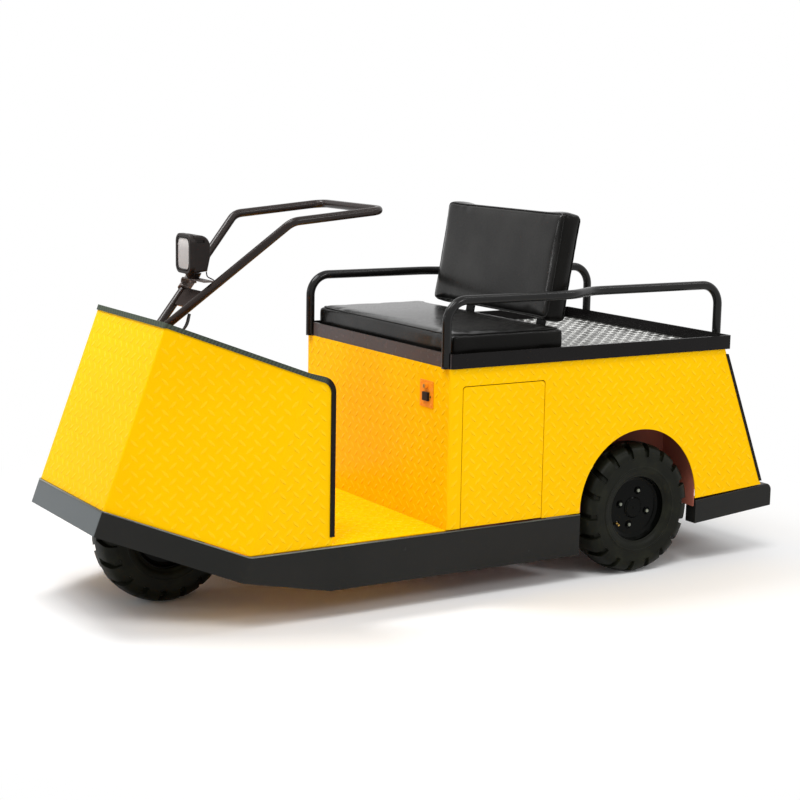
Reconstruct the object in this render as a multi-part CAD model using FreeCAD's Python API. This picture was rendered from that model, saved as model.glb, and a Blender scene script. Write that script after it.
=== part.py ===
import FreeCAD, Part
import math
import os

os.makedirs("parts", exist_ok=True)

V = FreeCAD.Vector
X_AXIS = V(1, 0, 0)
Y_AXIS = V(0, 1, 0)
Z_AXIS = V(0, 0, 1)

# ---------------------------------------------------------------- driving dimensions (mm)
# +X is forward, +Y is the driver's left, +Z is up, and the floor is at z = 0.
sheet = 3.0                     # tread plate of the cowl, pedestal and floor
plate = 5.0                     # bumper and deck angle
clear = 0.3                     # gap between pieces that lie against each other
running = 0.05                  # radial running fit

# body
body_half = 428.7               # outer face of the side panels
floor_z = 219.3                 # top of the floor pan and lower edge of the yellow panels

# deck
deck_out = 7.8                  # the rim stands proud of the side panels
deck_half = body_half + deck_out
deck_front = 126.7
deck_rear = -944.0
deck_top = 742.8
deck_rim = 43.8                 # height of the deck angle
deck_flange = 42.0
deck_corner_r = 8.0
deck_plate_t = 3.0
deck_plate_gap = 1.0
seat_split = -425.0             # joint between the seat base and the cargo deck

# pedestal and floor
floor_front = 975.0
pedestal_front = 128.4
pedestal_top = deck_top - deck_rim
rear_top_x = -926.0             # side panel's rear edge, at the top and at the bottom
rear_low_x = -1109.0
rear_low_z = 237.0
rear_trim_t = 8.0
rear_trim_w = 14.0
rear_trim_lip = (3.5, 1.8)      # how far it laps the side panel, and its thickness there
rear_trim_ends = (12.0, 18.0)   # bare length left at the bottom and the top

# nose cowl
nose_low = V(1127.0, 245.0, 345.5)
nose_high = V(939.4, 245.0, 847.6)
cowl_corner_x = 772.0           # where the side turns towards the nose, at the floor line
crease_top_z = 711.0
cowl_rear = 514.0
cowl_rear_top = 689.0
cowl_corner_r = 42.0
cowl_bend_r = 9.0
cowl_trim_gap = 25.0            # the trim stops this far above the floor line
cowl_trim_t = 3.5
cowl_trim_rise = 6.5            # how far it stands beyond the sheet's edge
cowl_trim_lip = 8.0

# wheels
tyre_r = 207.5
tyre_w = 118.0
rim_r = 104.5
rim_w = 92.0
rim_lip = 4.0
rim_rise = 8.0
barrel_t = 4.0
disc_y = 28.0                   # outer face of the disc from the wheel's middle plane
disc_t = 8.0
hub_r = 34.0
hub_in = -6.0
cap_rise = 5.0
rear_stub_r = 18.0
front_pin_r = 10.0
rear_axle_x = -594.4
rear_wheel_y = 373.0
steer_x = 847.0
stud_count = 4
stud_pcd = 112.0
stud_phase = 73.5
stud_r = 7.0
stud_pocket_r = 13.0
stud_pocket = 5.0
valve_spot = (-60.0, -43.0)
valve_r = 6.0

# bumper and skirt
skirt_out = 4.0                 # skirt face stands proud of the panels
skirt_low = 87.3
skirt_kink_x = 518.8
skirt_turn = (795.6, 144.8)
bumper_low = (1160.0, 278.5)
arch_gaps = (24.9, 26.1, 48.0)  # ahead of, behind and above the tyre
arch_front = rear_axle_x + tyre_r + arch_gaps[0]
arch_rear = rear_axle_x - tyre_r - arch_gaps[1]
arch_top = 2 * tyre_r + arch_gaps[2]
rear_bumper_front_z = (135.8, 211.3)
rear_bumper_rear_z = (163.6, 238.0)
rear_bumper_flange = 46.0
rear_bumper_r = 22.0
rear_bumper_edge_r = 6.0

# box over the front wheel
house_half = 232.0
house_rear_gap = 34.0           # behind the tyre
house_top_gap = 38.0            # above the fork crown
rear_house_lip = (85.0, 28.0)   # width and drop of the rear wall below the panel

# chassis rails and cross members
rail_y = 232.0
rail_w = 40.0
rail_h = 55.0
rail_over_axle = 92.5           # under side of the raised rails above the rear axle
rail_upper_h = 50.0
rail_upper = (tyre_r + rail_over_axle, tyre_r + rail_over_axle + rail_upper_h)
cross_w = 50.0
cross_end_gap = 8.0
hanger_z = (195.0, 215.0)

# rear axle, motor and springs
axle_tube_r = 30.0
axle_flange_r = 46.0
axle_flange_t = 14.0
gear_case_r = 95.0
gear_case_w = 120.0
motor_r = 78.0
motor_length = 230.0
motor_lift = 12.0
leaf_half = 220.0
leaf_t = 7.0
leaf_shares = (1.0, 0.72, 0.46)
leaf_sag = 22.0
leaf_top_gap = 28.0             # leaf top above the axle tube
leaf_eye = 12.0

# steering
head_r = 30.0
head_flange_r = 62.0
head_height = 132.0
column_r = 19.0
column_top = 780.0
column_hole_gap = 5.2
fork_leg = 12.0
fork_half = 26.0
fork_gap = 11.0
fork_crown_gap = 17.0           # above the tyre
fork_crown_z = 2 * tyre_r + fork_crown_gap
fork_crown_t = 14.0
fork_crown_half = 40.0
axle_nut = (16.0, 10.0)
bar_r = 12.5
bar_base = V(861.0, 12.0, 796.0)
bar_bend = V(519.0, 186.0, 1118.0)
bar_end_x = 216.0
bar_end_z = 1146.0
bar_bend_r = 55.0
bar_corner_r = 40.0
bar_clamp = (42.0, 22.0, 34.0)  # behind, ahead and to each side of the column
gusset_z = (868.0, 912.0)
gusset_t = 5.0

# rails
rail_r = 14.0
rail_rise = 153.9               # top tube above the deck rim
rail_z = deck_top + rail_rise
rail_front_x = 130.9
rail_inset = 24.7               # from the rim's side
rail_step = 66.0                # the rear half runs this much further in
rail_front_y = deck_half - rail_inset
rail_rear_y = rail_front_y - rail_step
rail_rear_x = deck_rear - rail_r - clear
rail_bend_r = 66.0
rail_jog = (-323.0, -449.0)
rail_jog_r = 150.0
rail_tab = 2.0

# seat
cushion_x = (-298.0, 106.0)
cushion_half = 406.0
cushion_rise = 57.2             # above the deck rim
cushion_top = deck_top + cushion_rise
cushion_corner_r = 12.0
cushion_edge_r = 9.0
back_half = 329.0
back_rise = (68.7, 396.2)       # heights of the pad's two ends above the deck rim
back_low = (-287.5, deck_top + back_rise[0])
back_high = (-346.5, deck_top + back_rise[1])
back_t = 72.0
back_corner_r = 12.0
back_edge_r = 8.0
support_y = 200.0
support_w = 40.0
support_t = 8.0
support_foot = 70.0
support_reach = 230.0

# access doors
door_x = (-217.0, 81.0)
door_top = 645.0
door_gap = 2.5
door_corner_r = 10.0
door_pin = V(93.0, 418.0, 0)
door_pin_r = 3.0
barrel_r = 6.0
goose_depth = 20.0
goose_t = 4.0
goose_neck = 30.0               # how far inside the leaf's edge the arm joins it
hinge_half = 11.0
hinge_heights = (300.0, 560.0)

# lamp
lamp_front_x = 777.0
lamp_w = 104.0
lamp_d = 66.0
lamp_z = (962.0, 1077.0)
lamp_corner_r = 25.0
lamp_bezel = 16.0               # depth of the front ring
lamp_step = 3.0                 # body is this much smaller than the ring
lamp_back_r = 32.0
lamp_edge_r = 7.0
lamp_frame = 9.0                # width of the ring round the lens
lamp_recess = 8.0
lamp_slot = (22.0, 46.0, 16.0, 24.0)
lamp_post_r = (14.0, 19.0)       # at the strap and under the lamp
lamp_bolt = (6.5, 9.0)
lamp_face_r = 3.5               # rounding of the ring's front edge
strap_w = 32.0
strap_t = 4.0
strap_top = 946.0
strap_sleeve = (912.0, 936.0)   # heights between which the strap wraps the right arm
cable_r = 3.0
cable_top = 862.0               # where the cables leave the left arm
lead_r = 1.8

# controls
switch_y = (272.0, 344.0)
switch_z = (570.0, 651.0)
switch_t = 2.0
key_spot = (309.0, 634.0)
key_r = 9.0
key_out = 9.0
rocker_y = (295.0, 325.0)
rocker_z = (590.0, 616.0)
rocker_out = 8.0

# battery
battery_x = (-250.0, 110.0)
battery_half = 262.0
battery_h = 280.0

# ---------------------------------------------------------------- helpers


def box(x0, x1, y0, y1, z0, z1):
    """Block between two corners."""
    return Part.makeBox(x1 - x0, y1 - y0, z1 - z0, V(x0, y0, z0))


def rod(start, end, radius):
    """Solid cylinder between two points."""
    axis = end - start
    return Part.makeCylinder(radius, axis.Length, start, axis)


def tube(start, end, outer, inner):
    """Hollow cylinder between two points."""
    return rod(start, end, outer).cut(rod(start, end, inner))


def fuse(shapes):
    """One solid of several that meet."""
    return shapes[0].multiFuse(shapes[1:]).removeSplitter()


def side_profile(points, y0, y1):
    """Outline in the side view (x, z), extruded from y0 to y1."""
    corners = [V(x, y0, z) for x, z in points]
    face = Part.Face(Part.makePolygon(corners + corners[:1]))
    return face.extrude(V(0, y1 - y0, 0))


def mirror_y(shape):
    """The same piece on the other side."""
    return shape.mirror(V(0, 0, 0), Y_AXIS)


def fillet_where(shape, radius, wanted):
    """Round the straight edges that a test picks."""
    return shape.makeFillet(radius, [e for e in shape.Edges if wanted(e)])


def is_line(edge):
    return edge.Curve.TypeId == "Part::GeomLine"


def along(edge, axis):
    """True for a straight edge parallel to an axis."""
    return is_line(edge) and abs(abs(edge.Curve.Direction.dot(axis)) - 1) < 1e-6


def path_wire(points, radii):
    """Straight runs joined by tangent arcs, one radius for each inner point."""
    edges = []
    last = points[0]
    for before, corner, after, radius in zip(points, points[1:], points[2:], radii):
        u = (before - corner).normalize()
        w = (after - corner).normalize()
        half = math.acos(max(-1, min(1, u.dot(w)))) / 2
        reach = radius / math.tan(half)
        start = corner + u * reach
        end = corner + w * reach
        middle = corner + (u + w).normalize() * (radius / math.sin(half) - radius)
        edges.append(Part.LineSegment(last, start).toShape())
        edges.append(Part.Arc(start, middle, end).toShape())
        last = end
    edges.append(Part.LineSegment(last, points[-1]).toShape())
    return Part.Wire(edges)


def bent_rod(points, radii, radius):
    """Solid round bar along a path of runs and arcs."""
    circle = Part.makeCircle(radius, points[0], points[1] - points[0])
    return path_wire(points, radii).makePipeShell([Part.Wire([circle])], True, False)


def free_radii(points):
    """Arc at each inner point of a cord: 0.45 of the shorter run over the tangent of half the turn."""
    radii = []
    for before, corner, after in zip(points, points[1:], points[2:]):
        u = corner - before
        w = after - corner
        radii.append(0.45 * min(u.Length, w.Length) / math.tan(u.getAngle(w) / 2))
    return radii


def cord(label, points, radius):
    """Flexible lead along a route, with the largest arcs that its runs allow."""
    radii = free_radii(points)
    solid = bent_rod(points, radii, radius)
    length = path_wire(points, radii).Length
    share = solid.Volume / (math.pi * radius ** 2 * length)
    print("%-24s length %.1f radii %s volume share %.4f" % (label, length, [round(r, 1) for r in radii], share))
    return solid


def revolve_y(points, centre):
    """Outline of (radius, y) points turned about the Y axis through a centre."""
    corners = [V(centre.x + r, centre.y + y, centre.z) for r, y in points]
    face = Part.Face(Part.makePolygon(corners + corners[:1]))
    return face.revolve(centre, Y_AXIS, 360)


def save(name, shape):
    """Write one node and say what it holds."""
    shape.exportStep("parts/%s.step" % name)
    print("%-24s solids %d volume %.0f" % (name, len(shape.Solids), shape.Volume))


# ---------------------------------------------------------------- nose cowl
def nose_slope():
    return (nose_low.x - nose_high.x) / (nose_high.z - nose_low.z)


def nose_x(z):
    """Forward face of the nose at a height."""
    return nose_low.x - (z - nose_low.z) * nose_slope()


def side_normal():
    """Outward normal of the angled left panel, from the nose edge and the floor corner."""
    corner = V(cowl_corner_x, body_half, floor_z)
    normal = (nose_high - nose_low).cross(corner - nose_low)
    return normal.normalize() * (1 if normal.y > 0 else -1)


def crease_top_x():
    """Where the crease meets the upper edge, on the plane of the angled panel."""
    n = side_normal()
    rest = n.y * (body_half - nose_low.y) + n.z * (crease_top_z - nose_low.z)
    return nose_low.x - rest / n.x


def half_space(point, normal, size=4000.0):
    """Large block behind a plane."""
    face = Part.makePlane(size, size, V(-size / 2, -size / 2, 0))
    block = face.extrude(V(0, 0, -size))
    block.Placement = FreeCAD.Placement(point, FreeCAD.Rotation(Z_AXIS, normal))
    return block


def is_crease(edge):
    """Bend line of the nose: a straight edge that climbs but isn't upright."""
    return is_line(edge) and 0.3 < abs(edge.Curve.Direction.z) < 0.999


def nose_solid(grow, rear_x):
    """Body bounded by the nose planes, each moved out by grow, with its bend lines rounded."""
    front_n = V(1, 0, nose_slope()).normalize()
    n = side_normal()
    m = V(n.x, -n.y, n.z)
    mirror_low = V(nose_low.x, -nose_low.y, nose_low.z)
    solid = box(rear_x, nose_low.x + 300, -body_half - grow, body_half + grow, 0, 1000)
    for point, normal in ((nose_low, front_n), (nose_low, n), (mirror_low, m)):
        solid = solid.common(half_space(point + normal * grow, normal))
    return fillet_where(solid, cowl_bend_r + grow, is_crease)


def cowl_edge(grow, foot):
    """Block whose side view is the cowl's free edge moved out by grow, standing on foot."""
    rear = cowl_rear - grow
    block = side_profile([
        (rear, foot),
        (nose_low.x + 200, foot),
        (nose_low.x + 200, nose_high.z + grow),
        (nose_high.x, nose_high.z + grow),
        (crease_top_x(), crease_top_z + grow),
        (rear, cowl_rear_top + grow),
    ], -600, 600)
    return fillet_where(block, cowl_corner_r + grow, lambda e: along(e, Y_AXIS)
                        and abs(e.CenterOfMass.x - rear) < 1 and e.CenterOfMass.z > cowl_rear_top - 100)


def make_cowl():
    """Bent sheet: sloping nose, two angled cheeks and two flat sides, open behind."""
    shell = nose_solid(0, cowl_rear - 50).cut(nose_solid(-sheet, cowl_rear - 60))
    below = side_profile([
        (cowl_rear - 100, 0),
        (cowl_rear - 100, floor_z),
        (cowl_corner_x, floor_z),
        (nose_low.x, nose_low.z),
        (nose_low.x + 300, nose_low.z),
        (nose_low.x + 300, 0),
    ], -600, 600)
    return shell.common(cowl_edge(0, floor_z)).cut(below)


def make_cowl_trim():
    """Rubber U section over the free edge, from one foot round to the other."""
    wrap = nose_solid(cowl_trim_t, cowl_rear - 70).cut(nose_solid(-sheet - cowl_trim_t, cowl_rear - 80))
    foot = floor_z + cowl_trim_gap
    band = wrap.common(cowl_edge(cowl_trim_rise, foot)).cut(cowl_edge(-cowl_trim_lip, foot - 10))
    slot = nose_solid(0, cowl_rear - 50).cut(nose_solid(-sheet, cowl_rear - 60)).common(cowl_edge(0, floor_z))
    return band.cut(slot)


# ---------------------------------------------------------------- bumper and skirt
def make_front_skirt():
    """Steel band under the cowl and floor, shallow at the nose and deep along the floor."""
    outer = nose_solid(skirt_out, arch_front)
    inner = nose_solid(skirt_out - plate, arch_front - 10)
    slope = (bumper_low[1] - skirt_turn[1]) / (bumper_low[0] - skirt_turn[0])
    reach = 60.0
    clip = side_profile([
        (arch_front, skirt_low),
        (skirt_kink_x, skirt_low),
        skirt_turn,
        bumper_low,
        (bumper_low[0] + reach, bumper_low[1] + reach * slope),
        (bumper_low[0] + reach, nose_low.z - clear),
        (nose_low.x, nose_low.z - clear),
        (cowl_corner_x, floor_z - sheet - clear),
        (arch_front, floor_z - sheet - clear),
    ], -600, 600)
    return outer.cut(inner).common(clip)


def bumper_front_x():
    """Foremost point: the lower edge of the front skirt."""
    return nose_x(bumper_low[1]) + skirt_out * math.sqrt(1 + nose_slope() ** 2)


def bumper_rear_x():
    """Rearmost point, as far behind the middle as the nose is ahead of it."""
    return -bumper_front_x()


def make_rear_bumper():
    """Box round the rear corners, rising slightly towards the back, open in the middle."""
    half = body_half + skirt_out
    front = arch_rear
    rear = bumper_rear_x()
    outer = side_profile([
        (front, rear_bumper_front_z[0]),
        (rear, rear_bumper_rear_z[0]),
        (rear, rear_bumper_rear_z[1]),
        (front, rear_bumper_front_z[1]),
    ], -half, half)
    outer = fillet_where(outer, rear_bumper_r, lambda e: along(e, Y_AXIS)
                         and abs(e.CenterOfMass.x - rear) < 1 and e.CenterOfMass.z > rear_bumper_front_z[1])
    outer = outer.makeFillet(rear_bumper_edge_r, [e for e in outer.Edges if abs(e.CenterOfMass.y) > half - 1
                                                  and e.CenterOfMass.z > rear_bumper_front_z[1]])
    inner = side_profile([
        (front - plate, rear_bumper_front_z[0] + plate),
        (rear + plate, rear_bumper_rear_z[0] + plate),
        (rear + plate, rear_bumper_rear_z[1] - plate - 2),
        (rear + rear_bumper_r, rear_bumper_rear_z[1] - plate - 2),
        (front - plate, rear_bumper_front_z[1] - plate),
    ], -half + plate, half - plate)
    well = box(rear + rear_bumper_flange + plate, front + 5,
               -half + rear_bumper_flange, half - rear_bumper_flange, 0, 400)
    return outer.cut(inner).cut(well)


# ---------------------------------------------------------------- pedestal
def arch_cut(y0, y1):
    """Half ellipse of the wheel opening, extruded across the panel."""
    centre = V((arch_front + arch_rear) / 2, y0, floor_z - 1)
    ellipse = Part.Ellipse(centre + V(0, 0, arch_top - centre.z), centre + V((arch_front - arch_rear) / 2, 0, 0), centre)
    return Part.Face(Part.Wire([ellipse.toShape()])).extrude(V(0, y1 - y0, 0))


def door_outline(gap, foot):
    """Rounded opening or leaf, smaller by gap on its front, rear and top."""
    solid = box(door_x[0] + gap, door_x[1] - gap, body_half - sheet, body_half, foot, door_top - gap)
    return fillet_where(solid, door_corner_r, lambda e: along(e, Y_AXIS) and e.CenterOfMass.z > door_top - 50)


def make_side_panel():
    """Left side: sheet with the wheel arch, the door opening and the hinge pins on their brackets."""
    y0 = body_half - sheet
    front = pedestal_front - sheet - clear
    panel = side_profile([
        (front, floor_z + clear),
        (front, pedestal_top - clear),
        (rear_top_x, pedestal_top - clear),
        (rear_low_x, rear_low_z),
        (arch_rear, floor_z - 1),
        (arch_front, floor_z - 1),
    ], y0, body_half)
    pieces = [panel.cut(arch_cut(y0 - 5, body_half + 5)).cut(door_outline(0, floor_z - 20))]
    for z in hinge_heights:
        low = z - hinge_half - 1
        pieces.append(box(door_pin.x - 4, door_pin.x + 8, door_pin.y - 4, y0, low - 10, low))
        pieces.append(rod(V(door_pin.x, door_pin.y, low - 2), V(door_pin.x, door_pin.y, z + hinge_half + 1), door_pin_r))
    return fuse(pieces)


def make_door():
    """Left access door: flush leaf on two gooseneck hinges that hook round the opening's edge."""
    y0 = body_half - sheet
    pieces = [door_outline(door_gap, floor_z + 2)]
    arm_y = door_pin.y - goose_depth
    neck_x = door_x[1] - goose_neck
    half_t = goose_t / 2
    for z in hinge_heights:
        z0 = z - hinge_half
        z1 = z + hinge_half
        axis_low = V(door_pin.x, door_pin.y, z0)
        axis_high = V(door_pin.x, door_pin.y, z1)
        pieces.append(tube(axis_low, axis_high, barrel_r, door_pin_r + running))
        pieces.append(box(door_pin.x - half_t, door_pin.x + half_t, arm_y, door_pin.y - barrel_r + 1.5, z0, z1))
        pieces.append(box(neck_x, door_pin.x + half_t, arm_y, arm_y + goose_t, z0, z1))
        pieces.append(box(neck_x, neck_x + goose_t, arm_y, y0, z0, z1))
    return fuse(pieces)


def make_front_panel():
    """Upright sheet across the front of the pedestal."""
    return box(pedestal_front - sheet, pedestal_front, -body_half, body_half, floor_z + clear, pedestal_top - clear)


def rear_slope():
    return (rear_top_x - rear_low_x) / (pedestal_top - rear_low_z)


def rear_panel_x(z):
    """Outer edge of the sloping back at a height."""
    return rear_low_x + (z - rear_low_z) * rear_slope()


def rear_strip(inset, outset, low, high):
    """Side view of a strip along the sloping back, between two depths and two heights."""
    return [
        (rear_panel_x(low) + outset, low),
        (rear_panel_x(high) + outset, high),
        (rear_panel_x(high) + inset, high),
        (rear_panel_x(low) + inset, low),
    ]


def make_rear_panel():
    """Sloping sheet between the side panels."""
    half = body_half - sheet - clear
    return side_profile(rear_strip(clear + sheet, clear, rear_low_z, pedestal_top - clear), -half, half)


def make_rear_trim():
    """Rubber strip on the left rear edge."""
    low = rear_low_z + rear_trim_ends[0]
    high = pedestal_top - rear_trim_ends[1]
    lap, thick = rear_trim_lip
    back = side_profile(rear_strip(0, -rear_trim_t, low, high), body_half - rear_trim_w, body_half + thick)
    lip = side_profile(rear_strip(lap, -rear_trim_t, low, high), body_half + clear, body_half + thick)
    return back.fuse(lip).removeSplitter()


def make_floor_pan():
    """Foot space sheet from the pedestal forward, and on both sides of the wheel box."""
    top = box(pedestal_front + clear, floor_front, -body_half, body_half, floor_z - sheet, floor_z)
    top = top.common(nose_solid(-sheet - clear, pedestal_front))
    well = box(house_rear() - clear, floor_front + 10, -house_half - clear, house_half + clear, 0, 500)
    return top.cut(well)


# ---------------------------------------------------------------- inner structure
def house_rear():
    return steer_x - tyre_r - house_rear_gap


def house_top():
    return fork_crown_z + fork_crown_t + house_top_gap


def make_front_house():
    """Steel box over the front wheel, carrying the steering head."""
    rear = house_rear()
    top = house_top()
    front = nose_x(top) - 30.0
    foot = nose_x(nose_low.z) - 26.0
    outer = side_profile([
        (rear, floor_z - 60),
        (rear, top),
        (front, top),
        (foot, nose_low.z - 40),
        (foot - 34, nose_low.z - 50),
    ], -house_half, house_half)
    inner = side_profile([
        (rear + sheet, floor_z - 160),
        (rear + sheet, top - sheet),
        (front - sheet, top - sheet),
        (foot - sheet, nose_low.z - 40),
        (foot + 86, nose_low.z - 160),
    ], -house_half + sheet, house_half - sheet)
    hole = rod(V(steer_x, 0, top - 20), V(steer_x, 0, top + 20), column_r + column_hole_gap)
    return outer.cut(inner).cut(hole)


def make_chassis():
    """Box-section rails: low under the floor, kicked up over the rear axle, with cross members."""
    low0 = floor_z - sheet - rail_h
    low1 = floor_z - sheet - clear
    up0, up1 = rail_upper
    step = arch_front + 10
    rail_end = rear_panel_x(up1) + sheet + 8.0
    web = bumper_rear_x() + plate + clear
    pieces = []
    for side in (-1, 1):
        y0 = side * rail_y - rail_w / 2
        y1 = side * rail_y + rail_w / 2
        pieces.append(box(step, house_rear() - 1, y0, y1, low0, low1))
        pieces.append(box(step, step + cross_w, y0, y1, low0, up1))
        pieces.append(box(rail_end, step + cross_w, y0, y1, up0, up1))
        pieces.append(box(rail_end, rail_end + rail_w, y0, y1, hanger_z[0], up0))
        pieces.append(box(web, rail_end + rail_w, y0, y1, hanger_z[0], hanger_z[1]))
    half = body_half - cross_end_gap
    for x in (battery_x[0] + 10, battery_x[1] - rail_w, house_rear() - cross_w - 1):
        pieces.append(box(x, x + cross_w, -half, half, low0, low1))
    inner_half = rail_y + rail_w / 2
    for x in (rail_end + 190, rail_end):
        pieces.append(box(x, x + rail_w, -inner_half, inner_half, up0, up1))
    return fuse(pieces)


def make_rear_house():
    """Left rear wheel box: inner wall, roof and ends, open at the arch and below."""
    y_in = rail_y + rail_w / 2 + 10
    y_out = body_half - sheet - clear
    x0 = arch_rear + 2
    x1 = arch_front - 2
    top = arch_top + 30
    shell = box(x0, x1, y_in, y_out, floor_z, top)
    hollow = box(x0 + sheet, x1 - sheet, y_in + sheet, y_out + 5, floor_z - 5, top - sheet)
    slot_half = axle_tube_r + 15
    slot = box(rear_axle_x - slot_half, rear_axle_x + slot_half, y_in - 5, y_in + 10,
               floor_z - 10, tyre_r + axle_flange_r + 40)
    lip_w, lip_drop = rear_house_lip
    lip = box(x0, x0 + sheet, y_out - lip_w, y_out, floor_z - lip_drop, floor_z + 5)
    return fuse([shell.cut(hollow).cut(slot), lip])


def make_battery():
    """Four batteries side by side, as one block on the cross members."""
    low = floor_z - sheet
    return box(battery_x[0], battery_x[1], -battery_half, battery_half, low, low + battery_h)


# ---------------------------------------------------------------- deck, seat, rails
def flange_top():
    return deck_top - deck_rim + plate


def deck_level():
    """Top of the deck plates."""
    return flange_top() + clear + deck_plate_t


def make_deck_frame():
    """Angle rim with its flange under the plates, a cross bar at their joint and tabs for the rails."""
    low = deck_top - deck_rim
    level = flange_top()
    frame = box(deck_rear, deck_front, -deck_half, deck_half, low, deck_top)
    frame = fillet_where(frame, deck_corner_r, lambda e: along(e, Z_AXIS))
    frame = frame.cut(box(deck_rear + plate, deck_front - plate, -deck_half + plate, deck_half - plate,
                          level, deck_top + 5))
    frame = frame.cut(box(deck_rear + deck_flange, deck_front - deck_flange, -deck_half + deck_flange,
                          deck_half - deck_flange, low - 5, deck_top + 5))
    bar_half = deck_flange / 2
    pieces = [box(seat_split - bar_half, seat_split + bar_half, -deck_half + 10, deck_half - 10, low, level)]
    for side in (-1, 1):
        y = side * rail_front_y
        reach = rail_r + rail_tab
        frame = frame.cut(box(deck_front - rail_r, deck_front + 5, y - reach, y + reach, level, deck_top + 5))
        pieces.append(box(deck_front - 20, rail_front_x, y - reach, y + reach, low, level))
        pieces.append(rod(V(rail_front_x, y, low), V(rail_front_x, y, level), rail_r))
    return fuse([frame] + pieces)


def deck_sheet(x0, x1):
    """Plate between two lengths, lying on the flange inside the rim."""
    gap = plate + deck_plate_gap
    low = flange_top() + clear
    return box(x0, x1, -deck_half + gap, deck_half - gap, low, low + deck_plate_t)


def make_seat_base():
    """Front plate that carries the seat, notched round the front posts of the rails."""
    solid = deck_sheet(seat_split + deck_plate_gap / 2, deck_front - plate - deck_plate_gap)
    for side in (-1, 1):
        y = side * rail_front_y
        solid = solid.cut(box(rail_front_x - rail_r - 10, deck_front + 5, y - rail_r - 8, y + rail_r + 20,
                              flange_top() - 5, deck_top))
    return solid


def make_deck_plate():
    """Cargo plate behind the seat."""
    return deck_sheet(deck_rear + plate + deck_plate_gap, seat_split - deck_plate_gap / 2)


def make_cushion():
    """Seat pad with rounded top edges."""
    solid = box(cushion_x[0], cushion_x[1], -cushion_half, cushion_half, deck_level() + clear, cushion_top)
    solid = fillet_where(solid, cushion_corner_r, lambda e: along(e, Z_AXIS))
    return solid.makeFillet(cushion_edge_r, [e for e in solid.Edges if abs(e.BoundBox.ZMin - cushion_top) < 0.01])


def back_axis():
    return V(back_high[0] - back_low[0], 0, back_high[1] - back_low[1]).normalize()


def make_backrest():
    """Reclined pad with rounded edges."""
    length = math.hypot(back_high[0] - back_low[0], back_high[1] - back_low[1])
    solid = box(-back_t, 0, -back_half, back_half, 0, length)
    solid = fillet_where(solid, back_corner_r, lambda e: along(e, X_AXIS))
    rims = [e for e in solid.Edges if abs(e.BoundBox.XMin) < 0.01 or abs(e.BoundBox.XMax + back_t) < 0.01]
    solid = solid.makeFillet(back_edge_r, rims)
    lean = math.degrees(math.atan2(back_low[0] - back_high[0], back_high[1] - back_low[1]))
    solid.Placement = FreeCAD.Placement(V(back_low[0], 0, back_low[1]), FreeCAD.Rotation(Y_AXIS, -lean))
    return solid


def make_back_support():
    """Two flat-bar uprights behind the pad, each with a foot on the seat base."""
    axis = back_axis()
    across = V(-axis.z, 0, axis.x)
    start = V(back_low[0], 0, back_low[1]) + across * (back_t + clear)
    foot_z = deck_level() + clear
    foot = start - axis * ((start.z - foot_z) / axis.z)
    top = start + axis * support_reach
    thick = across * support_t
    outline = [foot, top, top + thick, foot + thick + V(0, 0, -thick.z), foot]
    brackets = []
    for side in (-1, 1):
        y0 = side * support_y - support_w / 2
        upright = Part.Face(Part.makePolygon([p + V(0, y0, 0) for p in outline])).extrude(V(0, support_w, 0))
        sole = box(foot.x - support_foot, foot.x, y0, y0 + support_w, foot_z, foot_z + support_t)
        brackets.append(fuse([upright, sole]))
    return Part.makeCompound(brackets)


def make_rail():
    """Left side rail: hoop from the front corner to the back, stepping inwards behind the seat."""
    points = [
        V(rail_front_x, rail_front_y, flange_top() + clear),
        V(rail_front_x, rail_front_y, rail_z),
        V(rail_jog[0], rail_front_y, rail_z),
        V(rail_jog[1], rail_rear_y, rail_z),
        V(rail_rear_x, rail_rear_y, rail_z),
        V(rail_rear_x, rail_rear_y, deck_top - deck_rim + rail_tab),
    ]
    return bent_rod(points, [rail_bend_r, rail_jog_r, rail_jog_r, rail_bend_r], rail_r)


# ---------------------------------------------------------------- wheels
def tyre_shape(centre):
    """Industrial tyre: rounded crown and shoulders, bead at the rim."""
    half = tyre_w / 2
    bead = rim_w / 2 - rim_lip - 2
    seat = rim_r + rim_rise + clear
    left = [
        V(seat, -bead - rim_lip - 2, 0),
        V(seat + 14, -half + 2, 0),
        V(rim_r + 62, -half, 0),
        V(tyre_r - 18, -half + 14, 0),
        V(tyre_r - 6, -half + 26, 0),
    ]
    right = [V(p.x, -p.y, 0) for p in left]
    bead_seat = [V(seat, bead, 0), V(rim_r, bead, 0), V(rim_r, -bead, 0), V(seat, -bead, 0)]
    edges = [
        Part.Arc(*left[:3]).toShape(),
        Part.LineSegment(left[2], left[3]).toShape(),
        Part.LineSegment(left[3], left[4]).toShape(),
        Part.Arc(left[4], V(tyre_r, 0, 0), right[4]).toShape(),
        Part.LineSegment(right[4], right[3]).toShape(),
        Part.LineSegment(right[3], right[2]).toShape(),
        Part.Arc(right[2], right[1], right[0]).toShape(),
    ]
    chain = [right[0]] + bead_seat + [left[0]]
    edges += [Part.LineSegment(p, q).toShape() for p, q in zip(chain, chain[1:])]
    tyre = Part.Face(Part.Wire(edges)).revolve(V(0, 0, 0), Y_AXIS, 360)
    tyre.translate(centre)
    return tyre


def stud_spots(centre, out):
    """Centres of the wheel bolts on the disc's outer face."""
    spots = []
    for k in range(stud_count):
        angle = math.radians(stud_phase) + 2 * math.pi * k / stud_count
        spots.append(centre + V(-math.cos(angle) * stud_pcd / 2, out * disc_y, math.sin(angle) * stud_pcd / 2))
    return spots


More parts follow.
